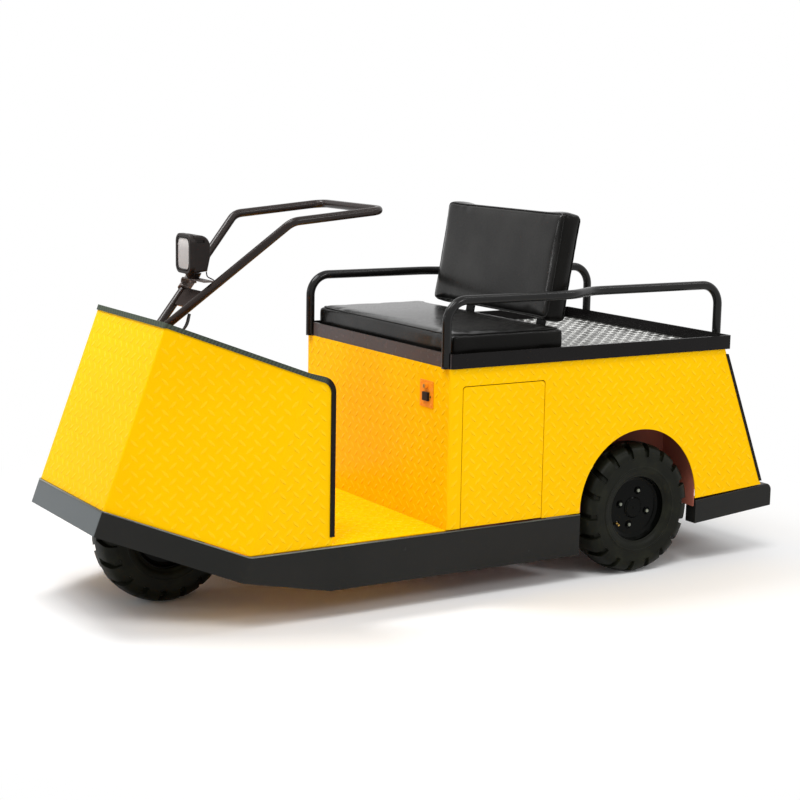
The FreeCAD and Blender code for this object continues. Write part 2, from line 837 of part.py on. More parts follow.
def rim_shape(centre, out, bore, through):
    """Disc wheel: barrel with lips, dished disc with bolt pockets, hub sleeve and cap.

    out is +1 when the dished face looks towards +Y; through leaves the cap open for a pin.
    """
    r = rim_r - clear
    bead = rim_w / 2 - rim_lip - 2 + clear
    lip = bead + rim_lip
    high = r + rim_rise
    wall = r - barrel_t
    disc_in = disc_y - disc_t
    cap = disc_y + cap_rise
    section = [
        (high, lip), (high, bead), (r, bead), (r, -bead), (high, -bead), (high, -lip),
        (wall, -lip), (wall, disc_in - 10), (wall - 12, disc_in), (hub_r, disc_in), (hub_r, hub_in), (bore, hub_in),
    ]
    if through:
        section += [(bore, cap)]
    else:
        section += [(bore, disc_y - 4), (0, disc_y - 4), (0, cap)]
    section += [(hub_r - 3, cap), (hub_r, cap - 3), (hub_r, disc_y), (wall - 12, disc_y), (wall - 3, disc_y + 4),
                (wall, disc_y + 12), (wall, lip)]
    wheel = revolve_y([(a, out * b) for a, b in section], centre)
    across = V(0, out, 0)
    for spot in stud_spots(centre, out):
        wheel = wheel.cut(rod(spot - across * (disc_t + 5), spot + across * 5, stud_r))
        wheel = wheel.cut(rod(spot - across * stud_pocket, spot + across * 5, stud_pocket_r))
    valve = centre + V(-valve_spot[0], 0, valve_spot[1])
    return wheel.cut(rod(valve, valve + across * (disc_y + 10), valve_r))


def make_rear_axle():
    """Housing tube with the gear case bulge, end flanges and stubs."""
    y_end = rear_wheel_y + hub_in - 22
    centre = V(rear_axle_x, 0, tyre_r)
    pieces = [
        rod(centre - V(0, y_end, 0), centre + V(0, y_end, 0), axle_tube_r),
        rod(centre - V(0, gear_case_w / 2, 0), centre + V(0, gear_case_w / 2, 0), gear_case_r),
    ]
    for side in (-1, 1):
        inner = centre + V(0, side * (y_end - axle_flange_t), 0)
        outer = centre + V(0, side * y_end, 0)
        tip = centre + V(0, side * (rear_wheel_y + disc_y - 6), 0)
        pieces += [rod(inner, outer, axle_flange_r), rod(outer, tip, rear_stub_r)]
    return fuse(pieces)


def make_motor():
    """Drive motor ahead of the axle, as one plain cylinder."""
    start = V(rear_axle_x + gear_case_r + clear, 0, tyre_r + motor_lift)
    return rod(start, start + V(motor_length, 0, 0), motor_r)


def leaf_point(depth, x, camber):
    """Point of the leaf pack, depth below its top face, at x from the axle."""
    top = tyre_r + axle_tube_r + leaf_top_gap
    r = camber + depth
    return V(rear_axle_x + x, 0, top + camber - math.sqrt(r ** 2 - x ** 2))


def make_spring():
    """Left leaf spring: three cambered leaves on an axle seat, with eyes under the rail."""
    camber = leaf_half ** 2 / (2 * leaf_sag)
    runs = [(0.0, leaf_half)]
    for index, share in enumerate(leaf_shares):
        runs.append(((index + 1) * leaf_t, leaf_half * share))
    edges = []
    depth, reach = runs[0]
    edges.append(Part.Arc(leaf_point(0, -reach, camber), leaf_point(0, 0, camber), leaf_point(0, reach, camber)))
    for side in (1, -1):
        for (upper, before), (lower, after), (_, following) in zip(runs, runs[1:], runs[2:] + [(0, 0)]):
            edges.append(Part.LineSegment(leaf_point(upper, side * after, camber), leaf_point(lower, side * after, camber)))
            if following:
                middle = (after + following) / 2
                edges.append(Part.Arc(leaf_point(lower, side * after, camber), leaf_point(lower, side * middle, camber),
                                      leaf_point(lower, side * following, camber)))
    depth, reach = runs[-1]
    edges.append(Part.Arc(leaf_point(depth, -reach, camber), leaf_point(depth, 0, camber), leaf_point(depth, reach, camber)))
    ordered = Part.sortEdges([e.toShape() for e in edges])[0]
    y0 = rail_y - rail_w / 2
    pack = Part.Face(Part.Wire(ordered)).extrude(V(0, rail_w, 0))
    pack.translate(V(0, y0, 0))
    pieces = [pack]
    pieces.append(box(rear_axle_x - axle_tube_r, rear_axle_x + axle_tube_r, y0, y0 + rail_w,
                      tyre_r + axle_tube_r + clear, leaf_point(leaf_t, 0, camber).z))
    for side in (-1, 1):
        eye = leaf_point(0, side * leaf_half, camber)
        pieces.append(box(eye.x - leaf_eye, eye.x + leaf_eye, y0, y0 + rail_w, eye.z - 10, rail_upper[0] - clear))
    return fuse(pieces)


# ---------------------------------------------------------------- steering
def make_head():
    """Fixed steering head tube on the wheel housing."""
    base = house_top() + clear
    bore = column_r + running
    ring = tube(V(steer_x, 0, base), V(steer_x, 0, base + head_height), head_r, bore)
    foot = tube(V(steer_x, 0, base), V(steer_x, 0, base + 8), head_flange_r, bore)
    return fuse([ring, foot])


def make_fork():
    """Crown, two legs and the steering column."""
    inner = tyre_w / 2 + fork_gap
    outer = inner + fork_leg
    crown_top = fork_crown_z + fork_crown_t
    pieces = []
    for side in (-1, 1):
        y0, y1 = sorted((side * inner, side * outer))
        leg = box(steer_x - fork_half, steer_x + fork_half, y0, y1, tyre_r - 30, crown_top)
        pieces.append(fillet_where(leg, fork_half - 4, lambda e: along(e, Y_AXIS) and e.CenterOfMass.z < tyre_r))
    pieces.append(box(steer_x - fork_crown_half, steer_x + fork_crown_half, -outer, outer, fork_crown_z, crown_top))
    pieces.append(rod(V(steer_x, 0, fork_crown_z), V(steer_x, 0, column_top), column_r))
    return fuse(pieces).cut(rod(V(steer_x, -200, tyre_r), V(steer_x, 200, tyre_r), front_pin_r + running))


def make_front_axle():
    """Wheel pin with a nut outside each fork leg."""
    nut_y = tyre_w / 2 + fork_gap + fork_leg + clear
    nut_r, nut_t = axle_nut
    reach = nut_y + nut_t + 2
    pieces = [rod(V(steer_x, -reach, tyre_r), V(steer_x, reach, tyre_r), front_pin_r)]
    for side in (-1, 1):
        start = V(steer_x, side * nut_y, tyre_r)
        pieces.append(rod(start, start + V(0, side * nut_t, 0), nut_r))
    return fuse(pieces)


def arm_point(z):
    """Point on the left arm's centre line at a height."""
    share = (z - bar_base.z) / (bar_bend.z - bar_base.z)
    return bar_base + (bar_bend - bar_base) * share


def make_handlebar():
    """Loop of one bent tube: two arms rising from the column clamp, joined by the rear grip bar."""
    points = [
        bar_base,
        bar_bend,
        V(bar_end_x, bar_bend.y, bar_end_z),
        V(bar_end_x, -bar_bend.y, bar_end_z),
        V(bar_bend.x, -bar_bend.y, bar_bend.z),
        V(bar_base.x, -bar_base.y, bar_base.z),
    ]
    loop = bent_rod(points, [bar_bend_r, bar_corner_r, bar_corner_r, bar_bend_r], bar_r)
    behind, ahead, side = bar_clamp
    clamp = box(steer_x - behind, steer_x + ahead, -side, side, column_top - 22, column_top + 12)
    low = arm_point(gusset_z[0])
    high = arm_point(gusset_z[1])
    corners = [low, high, V(high.x, -high.y, high.z), V(low.x, -low.y, low.z), low]
    up = arm_normal()
    gusset = Part.Face(Part.makePolygon([p - up * gusset_t / 2 for p in corners])).extrude(up * gusset_t)
    column = rod(V(steer_x, 0, column_top - 60), V(steer_x, 0, column_top + clear), column_r + running)
    return fuse([loop, clamp, gusset]).cut(column)


def arm_normal():
    """Upward normal of the plane through both arms."""
    return V(bar_bend.z - bar_base.z, 0, bar_base.x - bar_bend.x).normalize()


def lamp_post_x():
    return lamp_front_x - lamp_d / 2


def make_lamp_bracket():
    """Strap lying over both arms and wrapped round the right one, with the lamp's post and bolt."""
    x = lamp_post_x()
    arm = arm_point(strap_top - bar_r)
    strap = box(x - strap_w / 2, x + strap_w / 2, -arm.y, arm.y, strap_top - strap_t, strap_top)
    low, high = (arm_point(z) for z in strap_sleeve)
    wrap = rod(V(low.x, -low.y, low.z), V(high.x, -high.y, high.z), bar_r + clear + strap_t)
    narrow, wide = lamp_post_r
    post = Part.makeCone(narrow, wide, lamp_z[0] - clear - strap_top + 1, V(x, 0, strap_top - 1))
    bolt_r, bolt_h = lamp_bolt
    bolt = rod(V(x, 0, strap_top - strap_t - bolt_h), V(x, 0, strap_top - 1), bolt_r)
    sleeve = bent_clearance()
    return fuse([strap, wrap, post, bolt]).cut(sleeve).cut(mirror_y(sleeve))


def bent_clearance():
    """Room that the left arm takes, with its clearance."""
    return rod(bar_base, bar_bend, bar_r + clear)


def make_lamp_housing():
    """Work lamp body: front ring with large corners, a body with a rounded back and vent slots."""
    half = lamp_w / 2
    back = lamp_front_x - lamp_d
    ring_back = lamp_front_x - lamp_bezel
    low, high = lamp_z
    ring = box(ring_back, lamp_front_x, -half, half, low, high)
    ring = fillet_where(ring, lamp_corner_r, lambda e: along(e, X_AXIS))
    ring = ring.makeFillet(lamp_face_r, [e for e in ring.Edges if abs(e.CenterOfMass.x - lamp_front_x) < 0.01])
    inner = half - lamp_step
    body = side_profile([
        (ring_back + 2, low + lamp_step),
        (back + 9, low + lamp_step + 5),
        (back, low + 48),
        (back, high - lamp_step),
        (ring_back + 2, high - lamp_step),
    ], -inner, inner)
    body = fillet_where(body, lamp_back_r, lambda e: along(e, Y_AXIS)
                        and abs(e.CenterOfMass.x - back) < 1 and e.CenterOfMass.z > high - 10)
    sides = [e for e in body.Edges if abs(e.CenterOfMass.y) > inner - 1 and e.CenterOfMass.x < ring_back]
    body = body.makeFillet(lamp_edge_r, sides)
    solid = ring.fuse(body)
    recess = box(lamp_front_x - lamp_recess, lamp_front_x + 5, -half + lamp_frame, half - lamp_frame,
                 low + lamp_frame, high - lamp_frame)
    recess = fillet_where(recess, lamp_corner_r - lamp_frame, lambda e: along(e, X_AXIS))
    solid = solid.cut(recess)
    near, far, top, bottom = lamp_slot
    for side in (-1, 1):
        y0, y1 = sorted((side * (inner - 4), side * (inner + 4)))
        solid = solid.cut(box(lamp_front_x - far, lamp_front_x - near, y0, y1, high - bottom, high - top))
    return solid.removeSplitter()


def make_lamp_lens():
    """Clear front, just inside the ring."""
    half = lamp_w / 2 - lamp_frame - clear
    lens = box(lamp_front_x - lamp_recess + clear, lamp_front_x - 3, -half, half,
               lamp_z[0] + lamp_frame + clear, lamp_z[1] - lamp_frame - clear)
    return fillet_where(lens, lamp_corner_r - lamp_frame - clear, lambda e: along(e, X_AXIS))


def make_lamp_lead():
    """Short lead from under the lamp, behind the strap, to the inner side of the left arm."""
    inward = arm_normal().cross(bar_bend - bar_base).normalize()
    start = V(lamp_post_x() - strap_w / 2 - 5, 44, lamp_z[0] + lamp_step + 4 - clear)
    end = arm_point(935.0) + inward * (bar_r + clear)
    points = [start, start + V(-2, 0, -14), end + inward * 14 + V(0, 0, 4), end]
    return cord("lamp_lead", points, lead_r)


def make_cables():
    """Two control cables from the left arm down beside the column."""
    solids = []
    for index in range(2):
        shift = 12.0 * index
        top = arm_point(cable_top) - arm_normal() * (bar_r + cable_r + clear) + V(0, shift * 0.6, 0)
        points = [
            top,
            top + V(10, 2 + shift * 0.2, -34),
            V(steer_x - 22 + shift, 40, 770),
            V(steer_x - 10 + shift, 34, 735),
            V(steer_x - 6 + shift, column_r + cable_r + clear, 706),
        ]
        solids.append(cord("control_cable_%d" % index, points, cable_r))
    return Part.makeCompound(solids)


# ---------------------------------------------------------------- controls
def make_switch_plate():
    x = pedestal_front + clear
    solid = box(x, x + switch_t, switch_y[0], switch_y[1], switch_z[0], switch_z[1])
    return fillet_where(solid, 3.0, lambda e: along(e, X_AXIS))


def control_x():
    return pedestal_front + switch_t + 2 * clear


def make_key_switch():
    y, z = key_spot
    return rod(V(control_x(), y, z), V(control_x() + key_out, y, z), key_r)


def make_rocker():
    solid = box(control_x(), control_x() + rocker_out, rocker_y[0], rocker_y[1], rocker_z[0], rocker_z[1])
    return fillet_where(solid, 2.0, lambda e: e.CenterOfMass.x > control_x() + rocker_out - 0.5)


# ---------------------------------------------------------------- build
def build():
    save("chassis_frame", make_chassis())
    save("front_skirt", make_front_skirt())
    save("rear_bumper", make_rear_bumper())
    save("cowl_panel", make_cowl())
    save("cowl_edge_trim", make_cowl_trim())
    save("floor_pan", make_floor_pan())
    save("front_wheel_house", make_front_house())
    save("pedestal_front_panel", make_front_panel())
    save("rear_panel", make_rear_panel())
    left = {
        "side_panel": make_side_panel(),
        "access_door": make_door(),
        "rear_edge_trim": make_rear_trim(),
        "rear_wheel_house": make_rear_house(),
        "side_rail": make_rail(),
        "leaf_spring": make_spring(),
    }
    for name, shape in left.items():
        save(name + "_left", shape)
        save(name + "_right", mirror_y(shape))
    save("deck_frame", make_deck_frame())
    save("seat_base", make_seat_base())
    save("deck_plate", make_deck_plate())
    save("seat_cushion", make_cushion())
    save("backrest_pad", make_backrest())
    save("backrest_support", make_back_support())
    save("steering_head", make_head())
    save("steering_fork", make_fork())
    save("front_axle", make_front_axle())
    save("handlebar", make_handlebar())
    save("lamp_bracket", make_lamp_bracket())
    save("lamp_housing", make_lamp_housing())
    save("lamp_lens", make_lamp_lens())
    save("lamp_lead", make_lamp_lead())
    save("control_cables", make_cables())
    save("switch_plate", make_switch_plate())
    save("key_switch", make_key_switch())
    save("rocker_switch", make_rocker())
    save("rear_axle", make_rear_axle())
    save("drive_motor", make_motor())
    save("battery_block", make_battery())
    front = V(steer_x, 0, tyre_r)
    save("front_rim", rim_shape(front, 1, front_pin_r + running, True))
    save("front_tyre", tyre_shape(front))
    for side, label in ((1, "left"), (-1, "right")):
        centre = V(rear_axle_x, side * rear_wheel_y, tyre_r)
        save("rear_rim_" + label, rim_shape(centre, side, rear_stub_r + running, False))
        save("rear_tyre_" + label, tyre_shape(centre))


build()
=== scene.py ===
"""Finish and detail of a three-wheel electric platform cart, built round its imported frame.

+X is forward, +Y is the driver's left, +Z is up, and all lengths are in metres.
"""
from __future__ import annotations

import logging
import math
from dataclasses import dataclass, field
from enum import Enum
from itertools import product
from typing import Callable, Iterable, Sequence

import bmesh
import bpy
from mathutils import Matrix, Vector
from mathutils.bvhtree import BVHTree
from mathutils.kdtree import KDTree


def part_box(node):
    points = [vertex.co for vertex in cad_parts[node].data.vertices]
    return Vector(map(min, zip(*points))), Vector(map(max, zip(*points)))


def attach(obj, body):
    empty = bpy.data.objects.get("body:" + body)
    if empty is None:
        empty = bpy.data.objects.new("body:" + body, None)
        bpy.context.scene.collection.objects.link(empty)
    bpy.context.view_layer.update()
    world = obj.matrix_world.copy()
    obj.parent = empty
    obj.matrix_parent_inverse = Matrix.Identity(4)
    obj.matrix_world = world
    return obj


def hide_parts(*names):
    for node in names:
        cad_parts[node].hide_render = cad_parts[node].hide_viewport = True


logging.basicConfig(level=logging.INFO, format="%(message)s")
LOG = logging.getLogger("cart")

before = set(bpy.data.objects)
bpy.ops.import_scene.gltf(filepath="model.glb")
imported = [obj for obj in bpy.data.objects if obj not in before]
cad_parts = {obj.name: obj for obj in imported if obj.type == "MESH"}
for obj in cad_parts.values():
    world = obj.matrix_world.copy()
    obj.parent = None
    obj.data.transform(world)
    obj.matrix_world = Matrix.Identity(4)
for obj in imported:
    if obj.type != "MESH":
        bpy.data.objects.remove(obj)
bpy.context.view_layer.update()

WHITE = (1.0, 1.0, 1.0, 1.0)
TURN = 2 * math.pi
AHEAD = Vector((1.0, 0.0, 0.0))
UP = Vector((0.0, 0.0, 1.0))
FLUTE_PITCH = 0.0072

Colour = tuple[float, float, float]
Point = tuple[float, float, float]


# ---------------------------------------------------------------- shader building
class Value:
    """A node's output that takes arithmetic operators, each of which adds one Math node."""

    def __init__(self, nodes: "Nodes", socket: bpy.types.NodeSocket) -> None:
        """Wrap one output socket."""
        self.nodes = nodes
        self.socket = socket

    def math(self, operation: str, *others: "Value | float") -> "Value":
        """Apply one Math node.

        Args:
            operation: the Math node's operation.
            others: the further operands, as values or numbers.

        Returns:
            The result as a value.
        """
        inputs = dict(enumerate((self, *others)))
        return self.nodes.value("ShaderNodeMath", {"operation": operation}, inputs)

    def __add__(self, other: "Value | float") -> "Value":
        """Sum."""
        return self.math("ADD", other)

    __radd__ = __add__

    def __mul__(self, other: "Value | float") -> "Value":
        """Product."""
        return self.math("MULTIPLY", other)

    __rmul__ = __mul__

    def __sub__(self, other: "Value | float") -> "Value":
        """Difference."""
        return self.math("SUBTRACT", other)

    def __rsub__(self, other: float) -> "Value":
        """Difference from a number."""
        return self.nodes.value("ShaderNodeMath", {"operation": "SUBTRACT"}, {0: other, 1: self})

    def __truediv__(self, other: "Value | float") -> "Value":
        """Quotient."""
        return self.math("DIVIDE", other)

    def clamp(self) -> "Value":
        """Limit to 0..1."""
        return self.math("MAXIMUM", 0.0).math("MINIMUM", 1.0)

    def step(self, low: float, high: float) -> "Value":
        """Ramp smoothly from 0 at low to 1 at high."""
        inputs = {"Value": self, "From Min": low, "From Max": high}
        return self.nodes.value("ShaderNodeMapRange", {"interpolation_type": "SMOOTHSTEP"}, inputs)


class Nodes:
    """A node tree that takes new nodes."""

    def __init__(self, tree: bpy.types.NodeTree) -> None:
        """Keep the tree."""
        self.tree = tree

    def feed(self, socket: bpy.types.NodeSocket, wanted: object) -> None:
        """Link a value to a socket, or set the socket to a number or a colour.

        Args:
            socket: the input socket.
            wanted: what goes into it.
        """
        if isinstance(wanted, Value):
            self.tree.links.new(wanted.socket, socket)
        else:
            socket.default_value = wanted

    def node(self, kind: str, settings: dict | None = None, inputs: dict | None = None) -> bpy.types.Node:
        """Add a node.

        Args:
            kind: the node's type.
            settings: the node's own properties, set first.
            inputs: values or links of its sockets, by name or index.

        Returns:
            The new node.
        """
        node = self.tree.nodes.new(kind)
        for key, setting in (settings or {}).items():
            setattr(node, key, setting)
        for key, wanted in (inputs or {}).items():
            self.feed(node.inputs[key], wanted)
        return node

    def value(self, kind: str, settings: dict | None = None, inputs: dict | None = None,
              out: str | int = 0) -> Value:
        """Add a node and take one of its outputs."""
        return Value(self, self.node(kind, settings, inputs).outputs[out])

    def background(self) -> Value:
        """Find the rays that see the white background: camera, glossy and transmission rays.

        Returns:
            1 for those rays and 0 for the rest.
        """
        rays = self.node("ShaderNodeLightPath").outputs
        seen = Value(self, rays["Is Camera Ray"])
        for kind in ("Is Glossy Ray", "Is Transmission Ray"):
            seen = seen.math("MAXIMUM", Value(self, rays[kind]))
        return seen


class Shader(Nodes):
    """One node material with a Principled surface."""

    def __init__(self, name: str) -> None:
        """Start a material with an empty Principled surface.

        Args:
            name: the material's name.
        """
        self.material = bpy.data.materials.new(name)
        self.material.use_nodes = True
        super().__init__(self.material.node_tree)
        self.surface = self.tree.nodes["Principled BSDF"]
        self.point = self.value("ShaderNodeTexCoord", out="Object")

    def set(self, **sockets: object) -> None:
        """Set the surface's sockets, with underscores for spaces in their names."""
        for key, wanted in sockets.items():
            self.feed(self.surface.inputs[key.replace("_", " ")], wanted)

    def stretched(self, scale: Sequence[float], turn: Sequence[float] = (0, 0, 0)) -> Value:
        """Object coordinates scaled and turned by a Mapping node."""
        return self.value("ShaderNodeMapping", None, {"Vector": self.point, "Scale": scale, "Rotation": turn})

    def noise(self, scale: float, detail: float = 3.0, rough: float = 0.5,
              point: Value | None = None) -> Value:
        """Noise between 0 and 1, with its scale in waves per metre."""
        inputs = {"Vector": point or self.point, "Scale": scale, "Detail": detail, "Roughness": rough}
        return self.value("ShaderNodeTexNoise", None, inputs)

    def cells(self, scale: float) -> Value:
        """Distance to the nearest of many scattered points."""
        return self.value("ShaderNodeTexVoronoi", {"feature": "F1"}, {"Vector": self.point, "Scale": scale})

    def axis(self, index: int) -> Value:
        """One coordinate of the object point."""
        return self.value("ShaderNodeSeparateXYZ", None, {"Vector": self.point}, index)

    def facing(self, index: int) -> Value:
        """One coordinate of the surface normal."""
        normal = self.value("ShaderNodeNewGeometry", out="True Normal")
        return self.value("ShaderNodeSeparateXYZ", None, {"Vector": normal}, index)

    def facings(self) -> list[Value]:
        """All three coordinates of the surface normal."""
        return [self.facing(index) for index in range(3)]

    def mix(self, share: Value | float, low: "Value | Colour", high: "Value | Colour") -> Value:
        """Blend two colours.

        Args:
            share: how much of the second colour shows, from 0 to 1.
            low: the colour at 0.
            high: the colour at 1.

        Returns:
            The blend.
        """
        low, high = (end if isinstance(end, Value) else (*end, 1.0) for end in (low, high))
        return self.value("ShaderNodeMix", {"data_type": "RGBA"}, {0: share, 6: low, 7: high}, 2)

    def bump(self, height: Value, depth: float) -> None:
        """Feed a height to the surface's normal, with depth in metres."""
        self.set(Normal=self.value("ShaderNodeBump", None, {"Height": height, "Distance": depth}, "Normal"))


def dot(first: Sequence[Value], second: Sequence[Value | float]) -> Value:
    """Sum of the products of two sets of three coordinates."""
    x, y, z = (a * b for a, b in zip(first, second))
    return x + y + z


# ---------------------------------------------------------------- finishes
@dataclass(frozen=True)
class Paint:
    """Sprayed paint on steel: faint tone drift, orange peel, a little dust on upward faces and, where given,
    a painted reflection on faces that look ahead, a second paint inside a hollow and painted shade on faces
    that look down.
    """

    name: str
    colour: Colour
    shade: Colour
    roughness: float = 0.3
    coat: float = 0.5
    peel: float = 0.00006
    peel_scale: float = 420.0
    dust: float = 0.06
    dust_colour: Colour = (0.42, 0.40, 0.36)
    specular: float = 0.5
    # painted reflection of the bright surroundings, on faces that look ahead from front_from on
    front: Colour | None = None
    front_from: float = 0.0
    inner: Colour | None = None
    hollow_at: Point = (0.0, 0.0, 0.0)
    # painted shade on faces that look down
    under: Colour | None = None
    matt_facing: Point | None = None

    def tint(self, s: Shader) -> Value:
        """Colour of the clean paint, with the second paint inside the hollow, a painted reflection on faces
        that look ahead and painted shade on faces that look down, where these are given.

        Args:
            s: the shader under construction.

        Returns:
            The colour: front as a painted reflection on the faces that look ahead, inner on those that look
                at hollow_at,
            and under as painted shade on those that look down.
        """
        base = s.mix(s.noise(3.1, 4.0).step(0.3, 0.7), self.colour, self.shade)
        # painted reflection: faces that look ahead are lightened, a little unevenly
        if self.front is not None:
            ahead = s.facing(0).step(0.86, 0.92) * s.axis(0).step(self.front_from - 0.01, self.front_from)
            base = s.mix((ahead * (s.noise(2.5, 1.0) * 0.20 + 0.85)).clamp(), base, self.front)
        if self.inner is not None:
            to_hollow = [c - s.axis(k) for k, c in enumerate(self.hollow_at)]
            base = s.mix(dot(to_hollow, s.facings()).step(0.0, 0.001), base, self.inner)
        # painted shade: faces that look down are darkened
        if self.under is not None:
            base = s.mix((s.facing(2) * -1.0).step(0.08, 0.30), base, self.under)
        return base

    def material(self) -> bpy.types.Material:
        """Build the finish; flat faces that look along matt_facing lose their gloss.

        Returns:
            Its node material.
        """
        s = Shader(self.name)
        dusty = s.facing(2).step(0.6, 0.95) * s.noise(23.0, 5.0).step(0.35, 0.8) * self.dust
        specks = s.noise(170.0, 2.0).step(0.62, 0.8) * (self.dust * 0.4)
        s.set(Base_Color=s.mix((dusty + specks).clamp(), self.tint(s), self.dust_colour))
        roughness = s.noise(38.0, 4.0) * 0.14 + self.roughness - 0.07 + dusty
        if self.matt_facing is not None:
            roughness += dot(s.facings(), self.matt_facing).math("ABSOLUTE").step(0.996, 0.998) * 0.7
        s.set(Roughness=roughness.clamp(), Coat_Weight=self.coat, Coat_Roughness=0.12,
              Specular_IOR_Level=self.specular)
        s.bump(s.noise(self.peel_scale, 2.0) + s.noise(90.0, 1.0) * 0.6, self.peel)
        return s.material


@dataclass(frozen=True)
class EdgeRubber:
    """Ribbed push-on edge rubber, with a painted highlight on its upward faces and paler, greener sides along
    its sloping top run.
    """

    name: str
    # painted highlight on the upward faces
    top: Colour = (0.085, 0.110, 0.075)
    side: Colour = (0.0085, 0.0060, 0.0048)
    rib_pitch: float = 0.0085
    # paler, greener colour of the sides along the sloping top run
    sloping_colour: Colour = (0.070, 0.087, 0.064)
    sloping_from: float = 0.545

    def material(self) -> bpy.types.Material:
        """Build the finish.

        Returns:
            Its node material.
        """
        s = Shader(self.name)
        run = s.axis(0) + s.axis(2) * 0.6 + s.axis(1) * 0.5
        ribs = (run * (TURN / self.rib_pitch)).math("SINE") * 0.5 + 0.5
        up = s.facing(2).step(0.15, 0.75)
        grain = s.noise(260.0, 4.0)
        sloping = s.axis(0).step(self.sloping_from - 0.02, self.sloping_from) * (ribs * 0.45 + 0.55)
        # upward faces take a painted highlight broken by the ribs; the sides are dark, paler and greener
        # along the sloping top run
        tone = s.mix(up * (ribs * 0.35 + 0.65), s.mix(sloping, self.side, self.sloping_colour), self.top)
        s.set(Base_Color=s.mix(grain.step(0.4, 0.8) * 0.25, tone, (0.05, 0.052, 0.045)))
        s.set(Roughness=grain * 0.2 + 0.5, Specular_IOR_Level=0.08)
        s.bump(ribs * 0.8 + grain * 0.4, 0.0006)
        return s.material


@dataclass(frozen=True)
class BarePlate:
    """Mill-finish tread plate: rolled streaks, scuffs and greyer patches."""

    name: str
    bright: Colour = (0.30, 0.30, 0.285)
    dull: Colour = (0.095, 0.094, 0.088)
    roughness: float = 0.18

    def material(self) -> bpy.types.Material:
        """Build the finish.

        Returns:
            Its node material.
        """
        s = Shader(self.name)
        streaks = s.noise(1.0, 6.0, 0.65, s.stretched((9.0, 420.0, 60.0)))
        blotch = s.noise(11.0, 5.0)
        scuff = s.noise(1.0, 3.0, 0.6, s.stretched((380.0, 24.0, 40.0), (0.0, 0.0, 0.6))).step(0.62, 0.7)
        s.set(Base_Color=s.mix((streaks * 0.5 + blotch * 0.5).step(0.35, 0.65), self.dull, self.bright))
        s.set(Roughness=(blotch * 0.25 + streaks * 0.2 + self.roughness - scuff * 0.08).clamp(), Metallic=0.9)
        s.bump(streaks + scuff * 0.5 + blotch * 0.4, 0.00012)
        return s.material


@dataclass(frozen=True)
class Vinyl:
    """Grained black upholstery vinyl with faint pull creases, rubbed shiny where people sit and lean."""

    name: str
    colour: Colour = (0.0036, 0.0033, 0.0029)
    light: Colour = (0.0078, 0.0073, 0.0063)
    grain_scale: float = 520.0

    def material(self) -> bpy.types.Material:
        """Build the finish.

        Returns:
            Its node material.
        """
        s = Shader(self.name)
        pebbles = s.cells(self.grain_scale)
        creases = s.noise(1.0, 4.0, 0.6, s.stretched((16.0, 9.0, 22.0)))
        cloudy = s.noise(6.0, 3.0)
        s.set(Base_Color=s.mix(cloudy.step(0.35, 0.7) * 0.7 + pebbles * 0.2, self.colour, self.light))
        s.set(Roughness=(cloudy * 0.14 + pebbles * 0.10 + 0.15).clamp(), Specular_IOR_Level=0.09)
        rubbed = (s.facing(2).step(0.5, 0.9) + s.facing(0).step(0.7, 0.95)).clamp()
        s.set(Coat_Weight=rubbed * (cloudy * 0.3 + 0.25), Coat_Roughness=0.2)
        s.bump(pebbles * 0.30 + creases * 1.4 + s.noise(1400.0, 1.0) * 0.06, 0.00020)
        return s.material


@dataclass(frozen=True)
class TyreRubber:
    """Black-brown rubber with fine mould rings on the sidewall and dusty lug faces."""

    name: str
    colour: Colour = (0.0048, 0.0054, 0.0030)
    dusty: Colour = (0.0155, 0.0165, 0.0090)

    def material(self) -> bpy.types.Material:
        """Build the finish.

        Returns:
            Its node material.
        """
        s = Shader(self.name)
        fine = s.noise(900.0, 3.0)
        patch = s.noise(14.0, 5.0, 0.6)
        flecks = s.noise(240.0, 2.0).step(0.60, 0.75)
        s.set(Base_Color=s.mix((patch.step(0.4, 0.75) * 0.7 + flecks * 0.3).clamp(), self.colour, self.dusty))
        s.set(Roughness=(patch * 0.22 + 0.32).clamp(), Specular_IOR_Level=0.11)
        s.bump(fine * 0.5 + patch, 0.0003)
        return s.material


@dataclass(frozen=True)
class Plastic:
    """Moulded plastic or rubber jacket with a fine spark-eroded texture."""

    name: str
    colour: Colour
    light: Colour
    roughness: float = 0.45
    texture_scale: float = 1100.0
    specular: float = 0.4

    def material(self) -> bpy.types.Material:
        """Build the finish.

        Returns:
            Its node material.
        """
        s = Shader(self.name)
        texture = s.noise(self.texture_scale, 2.0)
        flow = s.noise(19.0, 3.0)
        s.set(Base_Color=s.mix(flow.step(0.35, 0.7), self.colour, self.light))
        s.set(Roughness=(flow * 0.12 + texture * 0.08 + self.roughness - 0.1).clamp())
        s.set(Specular_IOR_Level=self.specular)
        s.bump(texture, 0.00005)
        return s.material


@dataclass(frozen=True)
class Steel:
    """Machined or plated steel with turning marks and slight tarnish."""

    name: str
    colour: Colour = (0.55, 0.55, 0.52)
    tarnish: Colour = (0.30, 0.28, 0.24)
    roughness: float = 0.25

    def material(self) -> bpy.types.Material:
        """Build the finish.

        Returns:
            Its node material.
        """
        s = Shader(self.name)
        marks = s.noise(1.0, 3.0, 0.5, s.stretched((60.0, 900.0, 60.0)))
        blotch = s.noise(45.0, 4.0)
        s.set(Base_Color=s.mix(blotch.step(0.45, 0.75), self.colour, self.tarnish), Metallic=1.0)
        s.set(Roughness=(marks * 0.2 + blotch * 0.15 + self.roughness - 0.1).clamp())
        s.bump(marks, 0.00004)
        return s.material


